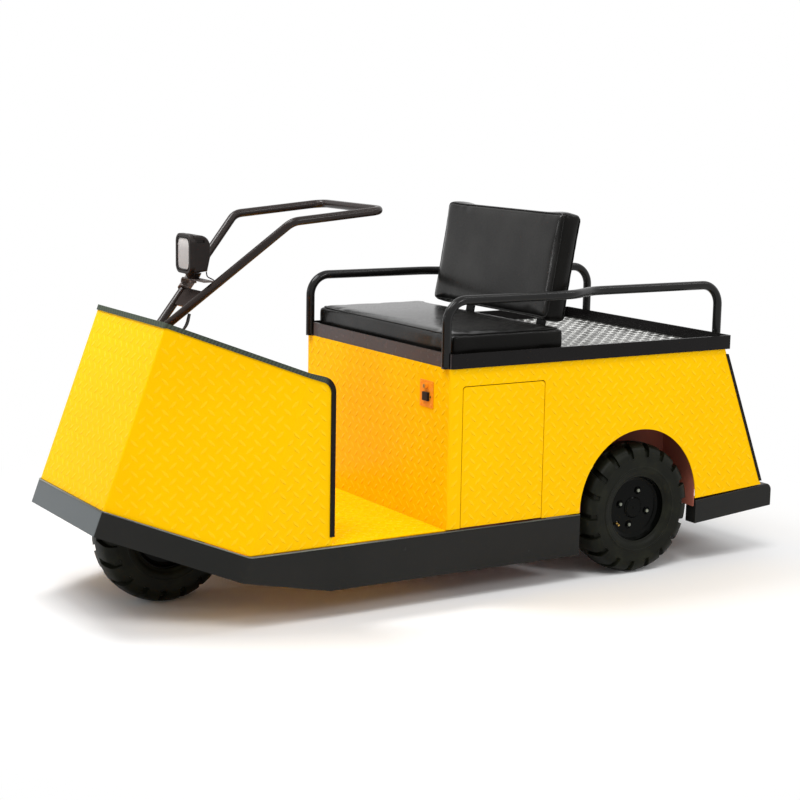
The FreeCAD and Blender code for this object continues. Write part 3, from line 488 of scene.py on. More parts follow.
@dataclass(frozen=True)
class FlutedGlass:
    """Milky lamp front: pale glass with upright flutes, a painted reflection above its middle and painted
    shade on its lower half.
    """

    name: str
    # bright is a painted reflection above the middle height; shaded is painted shade below it
    bright: Colour = (0.72, 0.70, 0.68)
    shaded: Colour = (0.40, 0.375, 0.37)
    middle: float = 1.03
    reach: float = 0.05

    def material(self) -> bpy.types.Material:
        """Build the finish.

        Returns:
            Its node material.
        """
        s = Shader(self.name)
        height = (s.axis(2) - self.middle) / self.reach
        # painted reflection rising above the middle height and easing near the top, with painted shade below
        painted_light_band = height.step(0.0, 0.8) - height.step(0.75, 1.0) * 0.35
        mottle = s.noise(60.0, 4.0)
        s.set(Base_Color=s.mix((painted_light_band * 0.8 + mottle * 0.3).clamp(), self.shaded, self.bright))
        s.set(Roughness=(mottle * 0.1 + 0.28).clamp(), Coat_Weight=0.25, Coat_Roughness=0.12)
        s.bump((s.axis(1) * (TURN / FLUTE_PITCH)).math("SINE"), 0.0002)
        return s.material


Recipe = Paint | EdgeRubber | BarePlate | Vinyl | TyreRubber | Plastic | Steel | FlutedGlass


class Finish(Enum):
    """Every finish of the cart, with the material slot that it belongs to."""

    YELLOW = "yellow_paint"
    BLACK = "black_paint"
    TUBE = "tube_paint"
    OXIDE = "oxide_paint"
    HOUSE = "house_paint"
    STRAP = "strap_paint"
    RAIL = "rail_paint"
    RIM = "rim_paint"
    ORANGE = "orange_paint"
    EDGE = "edge_rubber"
    BARE = "bare_plate"
    BARE_CREST = "bare_crest"
    CREST = "yellow_crest_painted_light"
    FRAME = "frame_paint"
    VINYL = "vinyl"
    TYRE = "tyre_rubber"
    LAMP = "lamp_plastic"
    LENS = "lens_glass"
    STEEL = "bright_steel"
    BRASS = "brass"
    WEAR_AND_HIGHLIGHT = "wear_and_painted_highlight"
    BATTERY = "battery_case"
    CABLE = "cable_jacket"

    @property
    def slot(self) -> str:
        """Name of the material slot.

        Returns:
            The finish's own name, or that of the slot it shares.
        """
        shared = {
            "black_paint": ("tube_paint", "frame_paint", "rail_paint", "strap_paint", "wear_and_painted_highlight"),
            "oxide_paint": ("house_paint",),
            "yellow_paint": ("yellow_crest_painted_light",),
            "bare_plate": ("bare_crest",),
            "bright_steel": ("brass",),
        }
        return next((slot for slot, names in shared.items() if self.value in names), self.value)


class Palette:
    """Builds each finish once and hands out its material."""

    def __init__(self) -> None:
        """Describe the finishes; none is built yet."""
        black = (0.0135, 0.0138, 0.0126)
        self.recipes: dict[Finish, Recipe] = {
            Finish.YELLOW: Paint("yellow_enamel", (1.0, 0.565, 0.001), (1.0, 0.540, 0.001), 0.26, 0.0,
                                 dust=0.008, specular=0.02),
            # lugs: a lighter copy of the yellow as a painted highlight, with painted shade on their
            # down-facing flanks
            Finish.CREST: Paint("yellow_crest_painted_light", (1.0, 0.600, 0.008), (1.0, 0.570, 0.006), 0.26, 0.0,
                                dust=0.01, specular=0.05, under=(0.80, 0.42, 0.003)),
            # front: painted reflection on the forward faces of the nose
            Finish.BLACK: Paint("black_enamel", black, (0.0165, 0.0162, 0.0150), 0.24, 0.0, dust=0.02,
                                specular=0.11, front=(0.115, 0.128, 0.133), front_from=1.0),
            # front: painted reflection on the deck frame's forward faces
            Finish.FRAME: Paint("frame_enamel", (0.0062, 0.0056, 0.0056), (0.0090, 0.0080, 0.0080), 0.26, 0.0,
                                dust=0.02, specular=0.10, front=(0.085, 0.075, 0.078), front_from=0.1),
            Finish.TUBE: Paint("tube_enamel", (0.0130, 0.0080, 0.0066), (0.0190, 0.0120, 0.0100), 0.25, 0.0,
                               peel=0.00001, dust=0.01, specular=0.24, matt_facing=(0.685, 0.0, 0.728)),
            Finish.RAIL: Paint("rail_enamel", (0.0058, 0.0056, 0.0054), (0.0090, 0.0088, 0.0085), 0.20, 0.0,
                               peel=0.00001, dust=0.01, specular=0.22),
            Finish.OXIDE: Paint("oxide_primer", (0.50, 0.155, 0.105), (0.34, 0.105, 0.072), 0.55, 0.0,
                                dust=0.12, dust_colour=(0.16, 0.09, 0.07), specular=0.25),
            Finish.HOUSE: Paint("house_enamel", (1.0, 0.565, 0.001), (1.0, 0.540, 0.001), 0.26, 0.0,
                                dust=0.01, specular=0.02, inner=(0.30, 0.075, 0.050),
                                hollow_at=(0.847, 0.0, 0.2)),
            # light brown in place of the strap's black paint: a painted reflection
            Finish.STRAP: Paint("strap_enamel_painted_reflection", (0.100, 0.080, 0.073), (0.120, 0.098, 0.090), 0.4, 0.0,
                                peel=0.00001, dust=0.02, specular=0.15),
            Finish.RIM: Paint("rim_enamel", (0.0020, 0.0023, 0.0019), (0.0036, 0.0042, 0.0034), 0.15, 0.0,
                              dust=0.01, specular=0.06),
            Finish.ORANGE: Paint("orange_enamel", (0.94, 0.335, 0.016), (0.90, 0.30, 0.013), 0.4, 0.0,
                                 dust=0.02, specular=0.2),
            Finish.EDGE: EdgeRubber("edge_rubber"),
            Finish.BARE: BarePlate("mill_plate"),
            Finish.BARE_CREST: BarePlate("scuffed_crest", (0.76, 0.76, 0.74), (0.46, 0.46, 0.44), 0.12),
            Finish.VINYL: Vinyl("seat_vinyl"),
            Finish.TYRE: TyreRubber("tyre_rubber"),
            Finish.LAMP: Plastic("lamp_shell", (0.0095, 0.0065, 0.0056), (0.014, 0.0098, 0.0086),
                                 specular=0.2),
            Finish.LENS: FlutedGlass("lamp_glass"),
            Finish.STEEL: Steel("bright_steel"),
            # pale colour: painted highlight along the skirt bead; on the stud ends, worn bare ends with a
            # painted glint
            Finish.WEAR_AND_HIGHLIGHT: Paint("wear_and_painted_highlight", (0.20, 0.215, 0.165), (0.05, 0.055, 0.045), 0.3, 0.3, dust=0.02),
            Finish.BRASS: Steel("valve_brass", (0.62, 0.40, 0.12), (0.36, 0.22, 0.07)),
            Finish.BATTERY: Plastic("battery_case", (0.02, 0.02, 0.022), (0.03, 0.03, 0.032), 0.55, 700.0),
            Finish.CABLE: Plastic("cable_jacket", (0.015, 0.015, 0.015), (0.024, 0.024, 0.023), 0.4, 1500.0),
        }
        self.made: dict[Finish, bpy.types.Material] = {}

    def of(self, finish: Finish) -> bpy.types.Material:
        """Material of a finish, built on first use.

        Args:
            finish: the finish.

        Returns:
            Its one material.
        """
        if finish not in self.made:
            self.made[finish] = self.recipes[finish].material()
        return self.made[finish]


PALETTE = Palette()


# ---------------------------------------------------------------- mesh helpers
def as_mesh(name: str, bm: bmesh.types.BMesh) -> bpy.types.Mesh:
    """Keep a bmesh as a mesh.

    Args:
        name: the mesh's name.
        bm: the bmesh, which is freed.

    Returns:
        The new mesh.
    """
    mesh = bpy.data.meshes.new(name)
    bm.to_mesh(mesh)
    bm.free()
    return mesh


def in_scene(name: str, data: bpy.types.ID) -> bpy.types.Object:
    """Put a mesh, lamp or camera in the scene.

    Args:
        name: the new object's name.
        data: what it shows.

    Returns:
        The new object.
    """
    made = bpy.data.objects.new(name, data)
    bpy.context.scene.collection.objects.link(made)
    return made


def finished(name: str, bm: bmesh.types.BMesh, finish: Finish, body: str,
             smooth: bool = True) -> bpy.types.Object:
    """Turn a bmesh into a piece of the cart.

    Args:
        name: the piece's name.
        bm: its geometry, in the cart's frame.
        finish: its finish.
        body: the body it moves with.
        smooth: whether its faces are shaded smooth.

    Returns:
        The new object, riding on its body.
    """
    bmesh.ops.remove_doubles(bm, verts=bm.verts, dist=1e-6)
    bmesh.ops.recalc_face_normals(bm, faces=bm.faces)
    for face in bm.faces:
        face.smooth = smooth
    piece = in_scene(name, as_mesh(name, bm))
    piece.data.materials.append(PALETTE.of(finish))
    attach(piece, body)
    finish.slot
    LOG.info("%-28s %7d faces on %s", name, len(piece.data.polygons), body)
    return piece


def sharpen(piece: bpy.types.Object, degrees: float) -> None:
    """Keep steep creases sharp on a smooth-shaded piece.

    Args:
        piece: the piece.
        degrees: the angle past which a crease is sharp.
    """
    bm = bmesh.new()
    bm.from_mesh(piece.data)
    for edge in bm.edges:
        if len(edge.link_faces) == 2 and edge.calc_face_angle(0.0) > math.radians(degrees):
            edge.smooth = False
    bm.to_mesh(piece.data)
    bm.free()


def middle_of(node: str) -> Vector:
    """Centre of a node's box."""
    low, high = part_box(node)
    return (low + high) / 2


def turned_to(*axes: Vector) -> Matrix:
    """Rotation that takes X, Y and Z to three given axes."""
    return Matrix(axes).transposed().to_4x4()


def on_circle(angle: float) -> Vector:
    """Point of the unit circle round the Y axis, at an angle from ahead to above."""
    return Vector((math.cos(angle), 0, math.sin(angle)))


def line_of(bm: bmesh.types.BMesh, points: Iterable[Sequence[float]],
            closed: bool = False) -> tuple[list[bmesh.types.BMVert], list[bmesh.types.BMEdge]]:
    """Add points joined by edges.

    Args:
        bm: the bmesh that takes them.
        points: the points in order.
        closed: whether the last one joins the first.

    Returns:
        The new vertices and the new edges.
    """
    verts = [bm.verts.new(point) for point in points]
    ends = verts[1:] + verts[:1] if closed else verts[1:]
    return verts, [bm.edges.new(pair) for pair in zip(verts, ends)]


def new_verts(made: dict) -> list[bmesh.types.BMVert]:
    """Vertices among what an extrusion made."""
    return [part for part in made["geom"] if isinstance(part, bmesh.types.BMVert)]


def draw_strip(bm: bmesh.types.BMesh, points: Iterable[Sequence[float]], run: Sequence[float]) -> None:
    """Add a strip of faces, drawn from a line of points along a vector.

    Args:
        bm: the bmesh that takes it.
        points: the line.
        run: the way and distance it is drawn.
    """
    _, edges = line_of(bm, points)
    made = bmesh.ops.extrude_edge_only(bm, edges=edges)
    bmesh.ops.translate(bm, verts=new_verts(made), vec=run)


def tube_along(bm: bmesh.types.BMesh, points: Sequence[Vector], radius: float, sides: int = 8,
               closed: bool = False) -> None:
    """Add a round tube that follows points, with its ring of sides kept untwisted.

    Args:
        bm: the bmesh that takes it.
        points: its middle line.
        radius: its radius.
        sides: number of sides round it.
        closed: whether its last point joins the first.
    """
    rings: list[list[bmesh.types.BMVert]] = []
    count = len(points)
    for i, point in enumerate(points):
        before = points[i - 1] if i or closed else point
        after = points[(i + 1) % count] if i + 1 < count or closed else point
        run = (after - before).normalized()
        side = run.cross(UP)
        if side.length < 0.1:
            side = run.cross(AHEAD)
        side.normalize()
        lift = side.cross(run)
        ring = []
        for k in range(sides):
            across, rise = radius * math.cos(TURN * k / sides), radius * math.sin(TURN * k / sides)
            ring.append(bm.verts.new(point + side * across + lift * rise))
        rings.append(ring)
    pairs = list(zip(rings, rings[1:]))
    if closed:
        pairs.append((rings[-1], rings[0]))
    for a, b in pairs:
        for k in range(sides):
            bm.faces.new((a[k], a[(k + 1) % sides], b[(k + 1) % sides], b[k]))
    if not closed:
        bm.faces.new(rings[0])
        bm.faces.new(reversed(rings[-1]))


def disc_on(bm: bmesh.types.BMesh, centre: Vector, axis: Vector, radius: float, height: float,
            segments: int, chamfer: float = 0.0, top_radius: float | None = None) -> None:
    """Add a short cylinder, cone or hexagon standing on a point along an axis.

    Args:
        bm: the bmesh that takes it.
        centre: middle of its foot.
        axis: unit vector that it stands along.
        radius: radius of its foot.
        height: its height.
        segments: number of its sides.
        chamfer: width of the bevel round its top, if it has one.
        top_radius: radius of its top, if that differs.
    """
    turn = axis.to_track_quat("Z", "Y").to_matrix().to_4x4()
    place = Matrix.Translation(centre + axis * (height / 2)) @ turn
    top_radius = radius if top_radius is None else top_radius
    made = bmesh.ops.create_cone(bm, cap_ends=True, segments=segments, radius1=radius, radius2=top_radius,
                                 depth=height, matrix=place)
    if chamfer:
        top = {v for v in made["verts"] if (v.co - centre).dot(axis) > height * 0.9}
        edges = [e for e in bm.edges if top.issuperset(e.verts)]
        bmesh.ops.bevel(bm, geom=edges, offset=chamfer, offset_type="OFFSET", segments=2, profile=0.5,
                        affect="EDGES", material=-1)


def surface_of(*nodes: str) -> BVHTree:
    """Make the surfaces of some nodes searchable.

    Args:
        nodes: the nodes' names.

    Returns:
        One search tree over all their faces.
    """
    bm = bmesh.new()
    for node in nodes:
        bm.from_mesh(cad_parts[node].data)
    tree = BVHTree.FromBMesh(bm)
    bm.free()
    return tree


# ---------------------------------------------------------------- carried-over nodes
@dataclass(frozen=True)
class CarriedFinishes:
    """Finishes of the frame's nodes that are shown as they are."""

    shown: dict[Finish, tuple[str, ...]] = field(default_factory=lambda: {
        Finish.YELLOW: ("cowl_panel", "floor_pan", "pedestal_front_panel", "rear_panel", "side_panel_left",
                        "side_panel_right", "access_door_left", "access_door_right"),
        Finish.BLACK: ("front_skirt", "rear_bumper"),
        Finish.FRAME: ("deck_frame", "backrest_support", "steering_head", "steering_fork", "rear_axle",
                       "drive_motor", "leaf_spring_left", "leaf_spring_right"),
        Finish.RAIL: ("side_rail_left", "side_rail_right"),
        Finish.TUBE: ("handlebar", "lamp_bracket"),
        Finish.OXIDE: ("chassis_frame", "rear_wheel_house_left", "rear_wheel_house_right"),
        Finish.HOUSE: ("front_wheel_house",),
        Finish.RIM: ("front_rim", "rear_rim_left", "rear_rim_right"),
        Finish.ORANGE: ("switch_plate", "key_switch"),
        Finish.EDGE: ("cowl_edge_trim", "rear_edge_trim_left", "rear_edge_trim_right"),
        Finish.BARE: ("deck_plate", "seat_base"),
        Finish.LAMP: ("lamp_housing", "rocker_switch"),
        Finish.STEEL: ("front_axle",),
        Finish.BATTERY: ("battery_block",),
        Finish.CABLE: ("lamp_lead", "control_cables"),
    })

    def dress(self) -> None:
        """Give each node its material."""
        for finish, nodes in self.shown.items():
            for node in nodes:
                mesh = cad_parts[node].data
                mesh.materials.clear()
                mesh.materials.append(PALETTE.of(finish))
                LOG.info("%-28s finished in %s", node, finish.value)


# ---------------------------------------------------------------- tread plate
@dataclass
class TreadPlate:
    """Raised lugs on the outer faces of one sheet, on the pattern's square lattice."""

    node: str
    body: str
    # lugs take the lighter yellow finish: painted highlight, with painted shade underneath
    finish: Finish = Finish.CREST
    inside: Vector = field(default_factory=lambda: Vector((0.0, 0.0, 0.45)))
    covers: tuple[str, ...] = ()
    pitch: float = 0.042
    length: float = 0.030
    width: float = 0.0092
    height: float = 0.0010
    taper: float = 0.45
    sink: float = 0.0002
    cover_gap: float = 0.004
    flat_within: float = 0.0001
    least_area: float = 0.012
    upward_only: bool = False
    tree: BVHTree = field(init=False)
    cover: BVHTree | None = field(init=False, default=None)

    def faces_outside(self) -> list[Vector]:
        """Find the sheet's large flat faces that look away from the inside.

        Returns:
            The normal of each of them.
        """
        area: dict[tuple[int, int, int], float] = {}
        total: dict[tuple[int, int, int], Vector] = {}
        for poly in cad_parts[self.node].data.polygons:
            if (poly.center - self.inside).dot(poly.normal) <= 0:
                continue
            key = tuple(round(c * 40) for c in poly.normal)
            area[key] = area.get(key, 0.0) + poly.area
            total[key] = total.get(key, Vector()) + poly.normal * poly.area
        normals = [total[k].normalized() for k, a in area.items() if a > self.least_area]
        return [n for n in normals if n.z > 0.9] if self.upward_only else normals

    def lattice(self, normal: Vector) -> tuple[Vector, Vector]:
        """Choose the pattern's axes on a face.

        Args:
            normal: the face's normal.

        Returns:
            The level and the rising axis.
        """
        level = UP.cross(normal)
        if level.length < 0.3:
            level = Vector((0, 1, 0))
        level.normalize()
        return level, normal.cross(level).normalized()

    def build(self) -> bpy.types.Object:
        """Lay the lugs on every outer face and join them in one piece.

        Returns:
            The piece.
        """
        self.tree = surface_of(self.node)
        if self.covers:
            self.cover = surface_of(*self.covers)
        corners = [v.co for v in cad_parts[self.node].data.vertices]
        lug = self.lug_mesh()
        bm = bmesh.new()
        for normal in self.faces_outside():
            axes = self.lattice(normal)
            above = max(round(c.dot(normal), 5) for c in corners) + 0.02
            cells = []
            for axis in axes:
                spots = [c.dot(axis) / self.pitch for c in corners]
                cells.append(range(math.floor(min(spots)) - 1, math.ceil(max(spots)) + 2))
            level, rising = axes
            for i, j, half in product(*cells, (0, 1)):
                spot = level * ((i + half / 2) * self.pitch) + rising * ((j + half / 2) * self.pitch)
                along = (level + rising * (1 if half else -1)).normalized()
                self.place(bm, lug, spot, normal, along, above)
        bpy.data.meshes.remove(lug)
        return finished(self.node + "_tread", bm, self.finish, self.body)

    def lug_mesh(self) -> bpy.types.Mesh:
        """Make one lug along X, centred at the origin: a low dome with pointed ends.

        Returns:
            Its mesh.
        """
        bm = bmesh.new()
        bmesh.ops.create_uvsphere(bm, u_segments=12, v_segments=8, radius=0.5)
        bmesh.ops.bisect_plane(bm, geom=bm.verts[:] + bm.edges[:] + bm.faces[:], plane_co=(0, 0, 0),
                               plane_no=(0, 0, -1), clear_outer=True)
        for vert in bm.verts:
            vert.co.y *= 1 - abs(2 * vert.co.x) ** 2 * self.taper
        bmesh.ops.scale(bm, verts=bm.verts, vec=(self.length, self.width, 2 * self.height))
        return as_mesh("lug", bm)

    def on_face(self, point: Vector, normal: Vector, above: float) -> Vector | None:
        """Drop a point on the outer face.

        Args:
            point: the point.
            normal: the face's normal.
            above: height along the normal from which it drops, clear of the sheet.

        Returns:
            Its foot, or None where there is no free face.
        """
        start = point + normal * (above - point.dot(normal))
        hit, found, _, _ = self.tree.ray_cast(start, -normal)
        if hit is None or found.dot(normal) < 0.999 or (hit - self.inside).dot(normal) <= 0:
            return None
        if self.cover is not None and self.cover.find_nearest(hit, self.cover_gap)[0] is not None:
            return None
        return hit

    def reach(self, foot: Vector, way: Vector, normal: Vector, above: float) -> float:
        """Measure how much of a lug's half has the face under it.

        Args:
            foot: the lug's middle on the face.
            way: the direction of that half.
            normal: the face's normal.
            above: height along the normal, clear of the sheet.

        Returns:
            The share of the half that fits.
        """
        for share in (1.0, 0.7, 0.4):
            end = self.on_face(foot + way * (share * self.length / 2), normal, above)
            if end is not None and abs((end - foot).dot(normal)) < self.flat_within:
                return share
        return 0.0

    def place(self, bm: bmesh.types.BMesh, lug: bpy.types.Mesh, spot: Vector, normal: Vector,
              along: Vector, above: float) -> None:
        """Add one lug, cut short where the face ends under it.

        Args:
            bm: the bmesh that takes it.
            lug: the lug's mesh.
            spot: its place on the lattice.
            normal: the face's normal.
            along: the direction of the lug.
            above: height along the normal, clear of the sheet.
        """
        foot = self.on_face(spot, normal, above)
        if foot is None:
            return
        back, ahead = (self.reach(foot, along * sign, normal, above) for sign in (-1, 1))
        if min(back, ahead) == 0.0 or back + ahead < 1.0:
            return
        middle = foot + along * ((ahead - back) * self.length / 4) - normal * self.sink
        size = Matrix.Diagonal(((back + ahead) / 2, 1, 1, 1))
        place = Matrix.Translation(middle) @ turned_to(along, normal.cross(along), normal) @ size
        before = len(bm.verts)
        bm.from_mesh(lug)
        bm.verts.ensure_lookup_table()
        bmesh.ops.transform(bm, matrix=place, verts=bm.verts[before:])


# ---------------------------------------------------------------- tyres and wheels
@dataclass
class Tyre:
    """Industrial tyre with staggered shoulder lugs and mould rings on its sidewalls."""

    node: str
    body: str
    lugs: int = 18
    steps: int = 8
    groove_depth: float = 0.0145
    pinch: float = 0.004
    shoulder: float = 0.01
    slant: float = math.radians(5.0)
    bead: float = 0.1036

    def profile(self, half: float, crown: float) -> list[Point]:
        """Draw the half section from inside the bead to the middle.

        Args:
            half: half of the tyre's width.
            crown: the tyre's radius.

        Returns:
            Its points as radius, y and share of the groove's depth.
        """
        b = self.bead
        lip = half - 0.0143
        return [
            (b + 0.0012, 0.0390, 0.0), (b + 0.0100, 0.0390, 0.0), (b + 0.0100, lip, 0.0), (b, lip, 0.0),
            (b + 0.0002, lip + 0.0022, 0.0), (b + 0.0020, lip + 0.0034, 0.0), (b + 0.0060, lip + 0.0040, 0.0),
            (b + 0.0085, lip + 0.0050, 0.0), (b + 0.0120, lip + 0.0085, 0.0), (b + 0.0200, lip + 0.0112, 0.0),
            (b + 0.0270, lip + 0.0122, 0.0), (b + 0.0285, lip + 0.0136, 0.0), (b + 0.0320, lip + 0.0136, 0.0),
            (b + 0.0335, lip + 0.0126, 0.0), (b + 0.0470, lip + 0.0136, 0.0), (b + 0.0560, lip + 0.0140, 0.0),
            (crown - 0.0405, half - 0.0003, 0.0), (crown - 0.0385, half, 0.5),
            (crown - 0.0280, half - 0.0016, 0.9), (crown - 0.0175, half - 0.0055, 1.0),
            (crown - 0.0105, half - 0.0115, 1.0), (crown - 0.0062, half - 0.0200, 1.0),
            (crown - 0.0030, half - 0.0320, 1.0), (crown - 0.0008, half - 0.0440, 1.0),
            (crown - 0.0002, 0.0085, 1.0), (crown, 0.0055, 0.0), (crown, 0.0, 0.0),
        ]

    def warp(self, index: int, side: int) -> tuple[float, float]:
        """Shift of one column to the groove's walls, and whether the column lies in the groove.

        Args:
            index: column number round the tyre.
            side: 1 for the outer shoulder and -1 for the inner one.

        Returns:
            The angle to add and the depth share.
        """
        pitch = TURN / self.lugs
        k = (index + (0 if side > 0 else self.steps // 2)) % self.steps
        targets = (0.0, 0.14, 0.29, 0.44, 0.58, 0.71, 0.735, 0.975)
        depth = (0.0, 0.0, 0.0, 0.0, 0.0, 0.0, 1.0, 1.0)
        return (targets[k] - k / self.steps) * pitch, depth[k]

    def mould(self, vert: bmesh.types.BMVert, rows: Sequence[Point], half: float) -> None:
        """Move one point of the plain tyre to its place on a lug or in a groove.

        Args:
            vert: the point.
            rows: the section's points.
            half: half of the tyre's width.
        """
        radius = math.hypot(vert.co.x, vert.co.z)
        share = min(rows, key=lambda row: abs(row[0] - radius) + abs(row[1] - vert.co.y))[2]
        if share == 0.0:
            return
        angle = math.atan2(vert.co.z, vert.co.x)
        columns = self.lugs * self.steps
        side = 1 if vert.co.y > 0 else -1
        shift, depth = self.warp(round(angle / TURN * columns) % columns, side)
        angle += shift + self.slant * (1 - abs(vert.co.y) / half)
        radius -= depth * share * self.groove_depth
        vert.co.x = radius * math.cos(angle)
        vert.co.z = radius * math.sin(angle)
        if depth and abs(vert.co.y) > half - self.shoulder:
            vert.co.y -= side * depth * share * self.pinch

    def build(self) -> bpy.types.Object:
        """Make the tyre in place of its plain solid.

        Returns:
            The piece.
        """
        low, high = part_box(self.node)
        half = (high.y - low.y) / 2
        section = self.profile(half, (high.z - low.z) / 2)
        rows = section + [(r, -y, g) for r, y, g in reversed(section[:-1])]
        bm = bmesh.new()
        verts, edges = line_of(bm, [(r, y, 0.0) for r, y, _ in rows], closed=True)
        bmesh.ops.spin(bm, geom=verts + edges, cent=(0, 0, 0), axis=(0, 1, 0), angle=TURN,
                       steps=self.lugs * self.steps, use_merge=True)
        bmesh.ops.remove_doubles(bm, verts=bm.verts, dist=1e-6)
        for vert in bm.verts:
            self.mould(vert, rows, half)
        bmesh.ops.translate(bm, verts=bm.verts, vec=(low + high) / 2)
        piece = finished(self.node + "_moulded", bm, Finish.TYRE, self.body)
        sharpen(piece, 32)
        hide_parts(self.node)
        return piece


@dataclass
class WheelHardware:
    """Nuts in the disc's pockets, the cap's rim and centre mark, and the valve stem.

    Whatever is turned, such as a washer or a valve's stem, is given as its radius and height.
    """

    body: str
    rim: str
    out: int
    bolts: int = 4
    bolt_circle: float = 0.112
    phase: float = math.radians(73.5)
    disc_y: float = 0.028
    pocket: float = 0.005
    washer: tuple[float, float] = (0.0105, 0.0018)
    nut: tuple[float, float] = (0.0095, 0.0075)
    stud: tuple[float, float] = (0.0052, 0.0036)
    stud_foot: float = 0.0094
    mark: tuple[float, float] = (0.0035, 0.0012)
    cap_ring: float = 0.029
    cap_bead: float = 0.0009
    valve: tuple[float, float] = (0.060, -0.043)
    valve_foot: float = 0.012
    valve_lean: Vector = field(default_factory=lambda: Vector((0.25, 0, -0.2)))
    valve_stem: tuple[float, float] = (0.0042, 0.020)
    valve_cap: tuple[float, float] = (0.0031, 0.011)
    through: bool = False

    def build(self) -> None:
        """Add the hardware on the wheel's outer face."""
        out = Vector((0, self.out, 0))
        face = middle_of(self.rim) + out * self.disc_y
        nuts, studs = bmesh.new(), bmesh.new()
        for k in range(self.bolts):
            way = on_circle(math.pi - (self.phase + TURN * k / self.bolts))
            spot = face + way * (self.bolt_circle / 2) - out * self.pocket
            disc_on(nuts, spot, out, *self.washer, 20)
            disc_on(nuts, spot + out * self.washer[1], out, *self.nut, 6, 0.0008)
            disc_on(studs, spot + out * self.stud_foot, out, *self.stud, 14, 0.0007)
        finished(self.rim + "_nuts", nuts, Finish.RIM, self.body, False)
        # stud ends: worn bare ends, lightened further as a painted glint
        finished(self.rim + "_studs", studs, Finish.WEAR_AND_HIGHLIGHT, self.body, False)
        if not self.through:
            self.cap_detail(face, out)
        bm = bmesh.new()
        stem = face + Vector((self.valve[0], 0, self.valve[1])) - out * self.valve_foot
        lean = (out + self.valve_lean).normalized()
        disc_on(bm, stem, lean, *self.valve_stem, 14, 0.001)
        disc_on(bm, stem + lean * self.valve_stem[1], lean, *self.valve_cap, 12, 0.0008)
        finished(self.rim + "_valve", bm, Finish.BRASS, self.body)

    def cap_detail(self, face: Vector, out: Vector) -> None:
        """Add the mark and the raised ring on the hub's cap.

        Args:
            face: middle of the disc's face.
            out: unit vector away from the cart.
        """
        bm = bmesh.new()
        disc_on(bm, face + out * 0.005, out, *self.mark, 12, 0.0004)
        ring = [face + out * 0.0052 + on_circle(TURN * i / 40) * self.cap_ring for i in range(40)]
        tube_along(bm, ring, self.cap_bead, 6, True)
        finished(self.rim + "_cap_detail", bm, Finish.RIM, self.body)


# ---------------------------------------------------------------- upholstery
def evaluated_mesh(piece: bpy.types.Object) -> bpy.types.Mesh:
    """Mesh of a piece with its modifiers applied."""
    graph = bpy.context.evaluated_depsgraph_get()
    return bpy.data.meshes.new_from_object(piece.evaluated_get(graph))


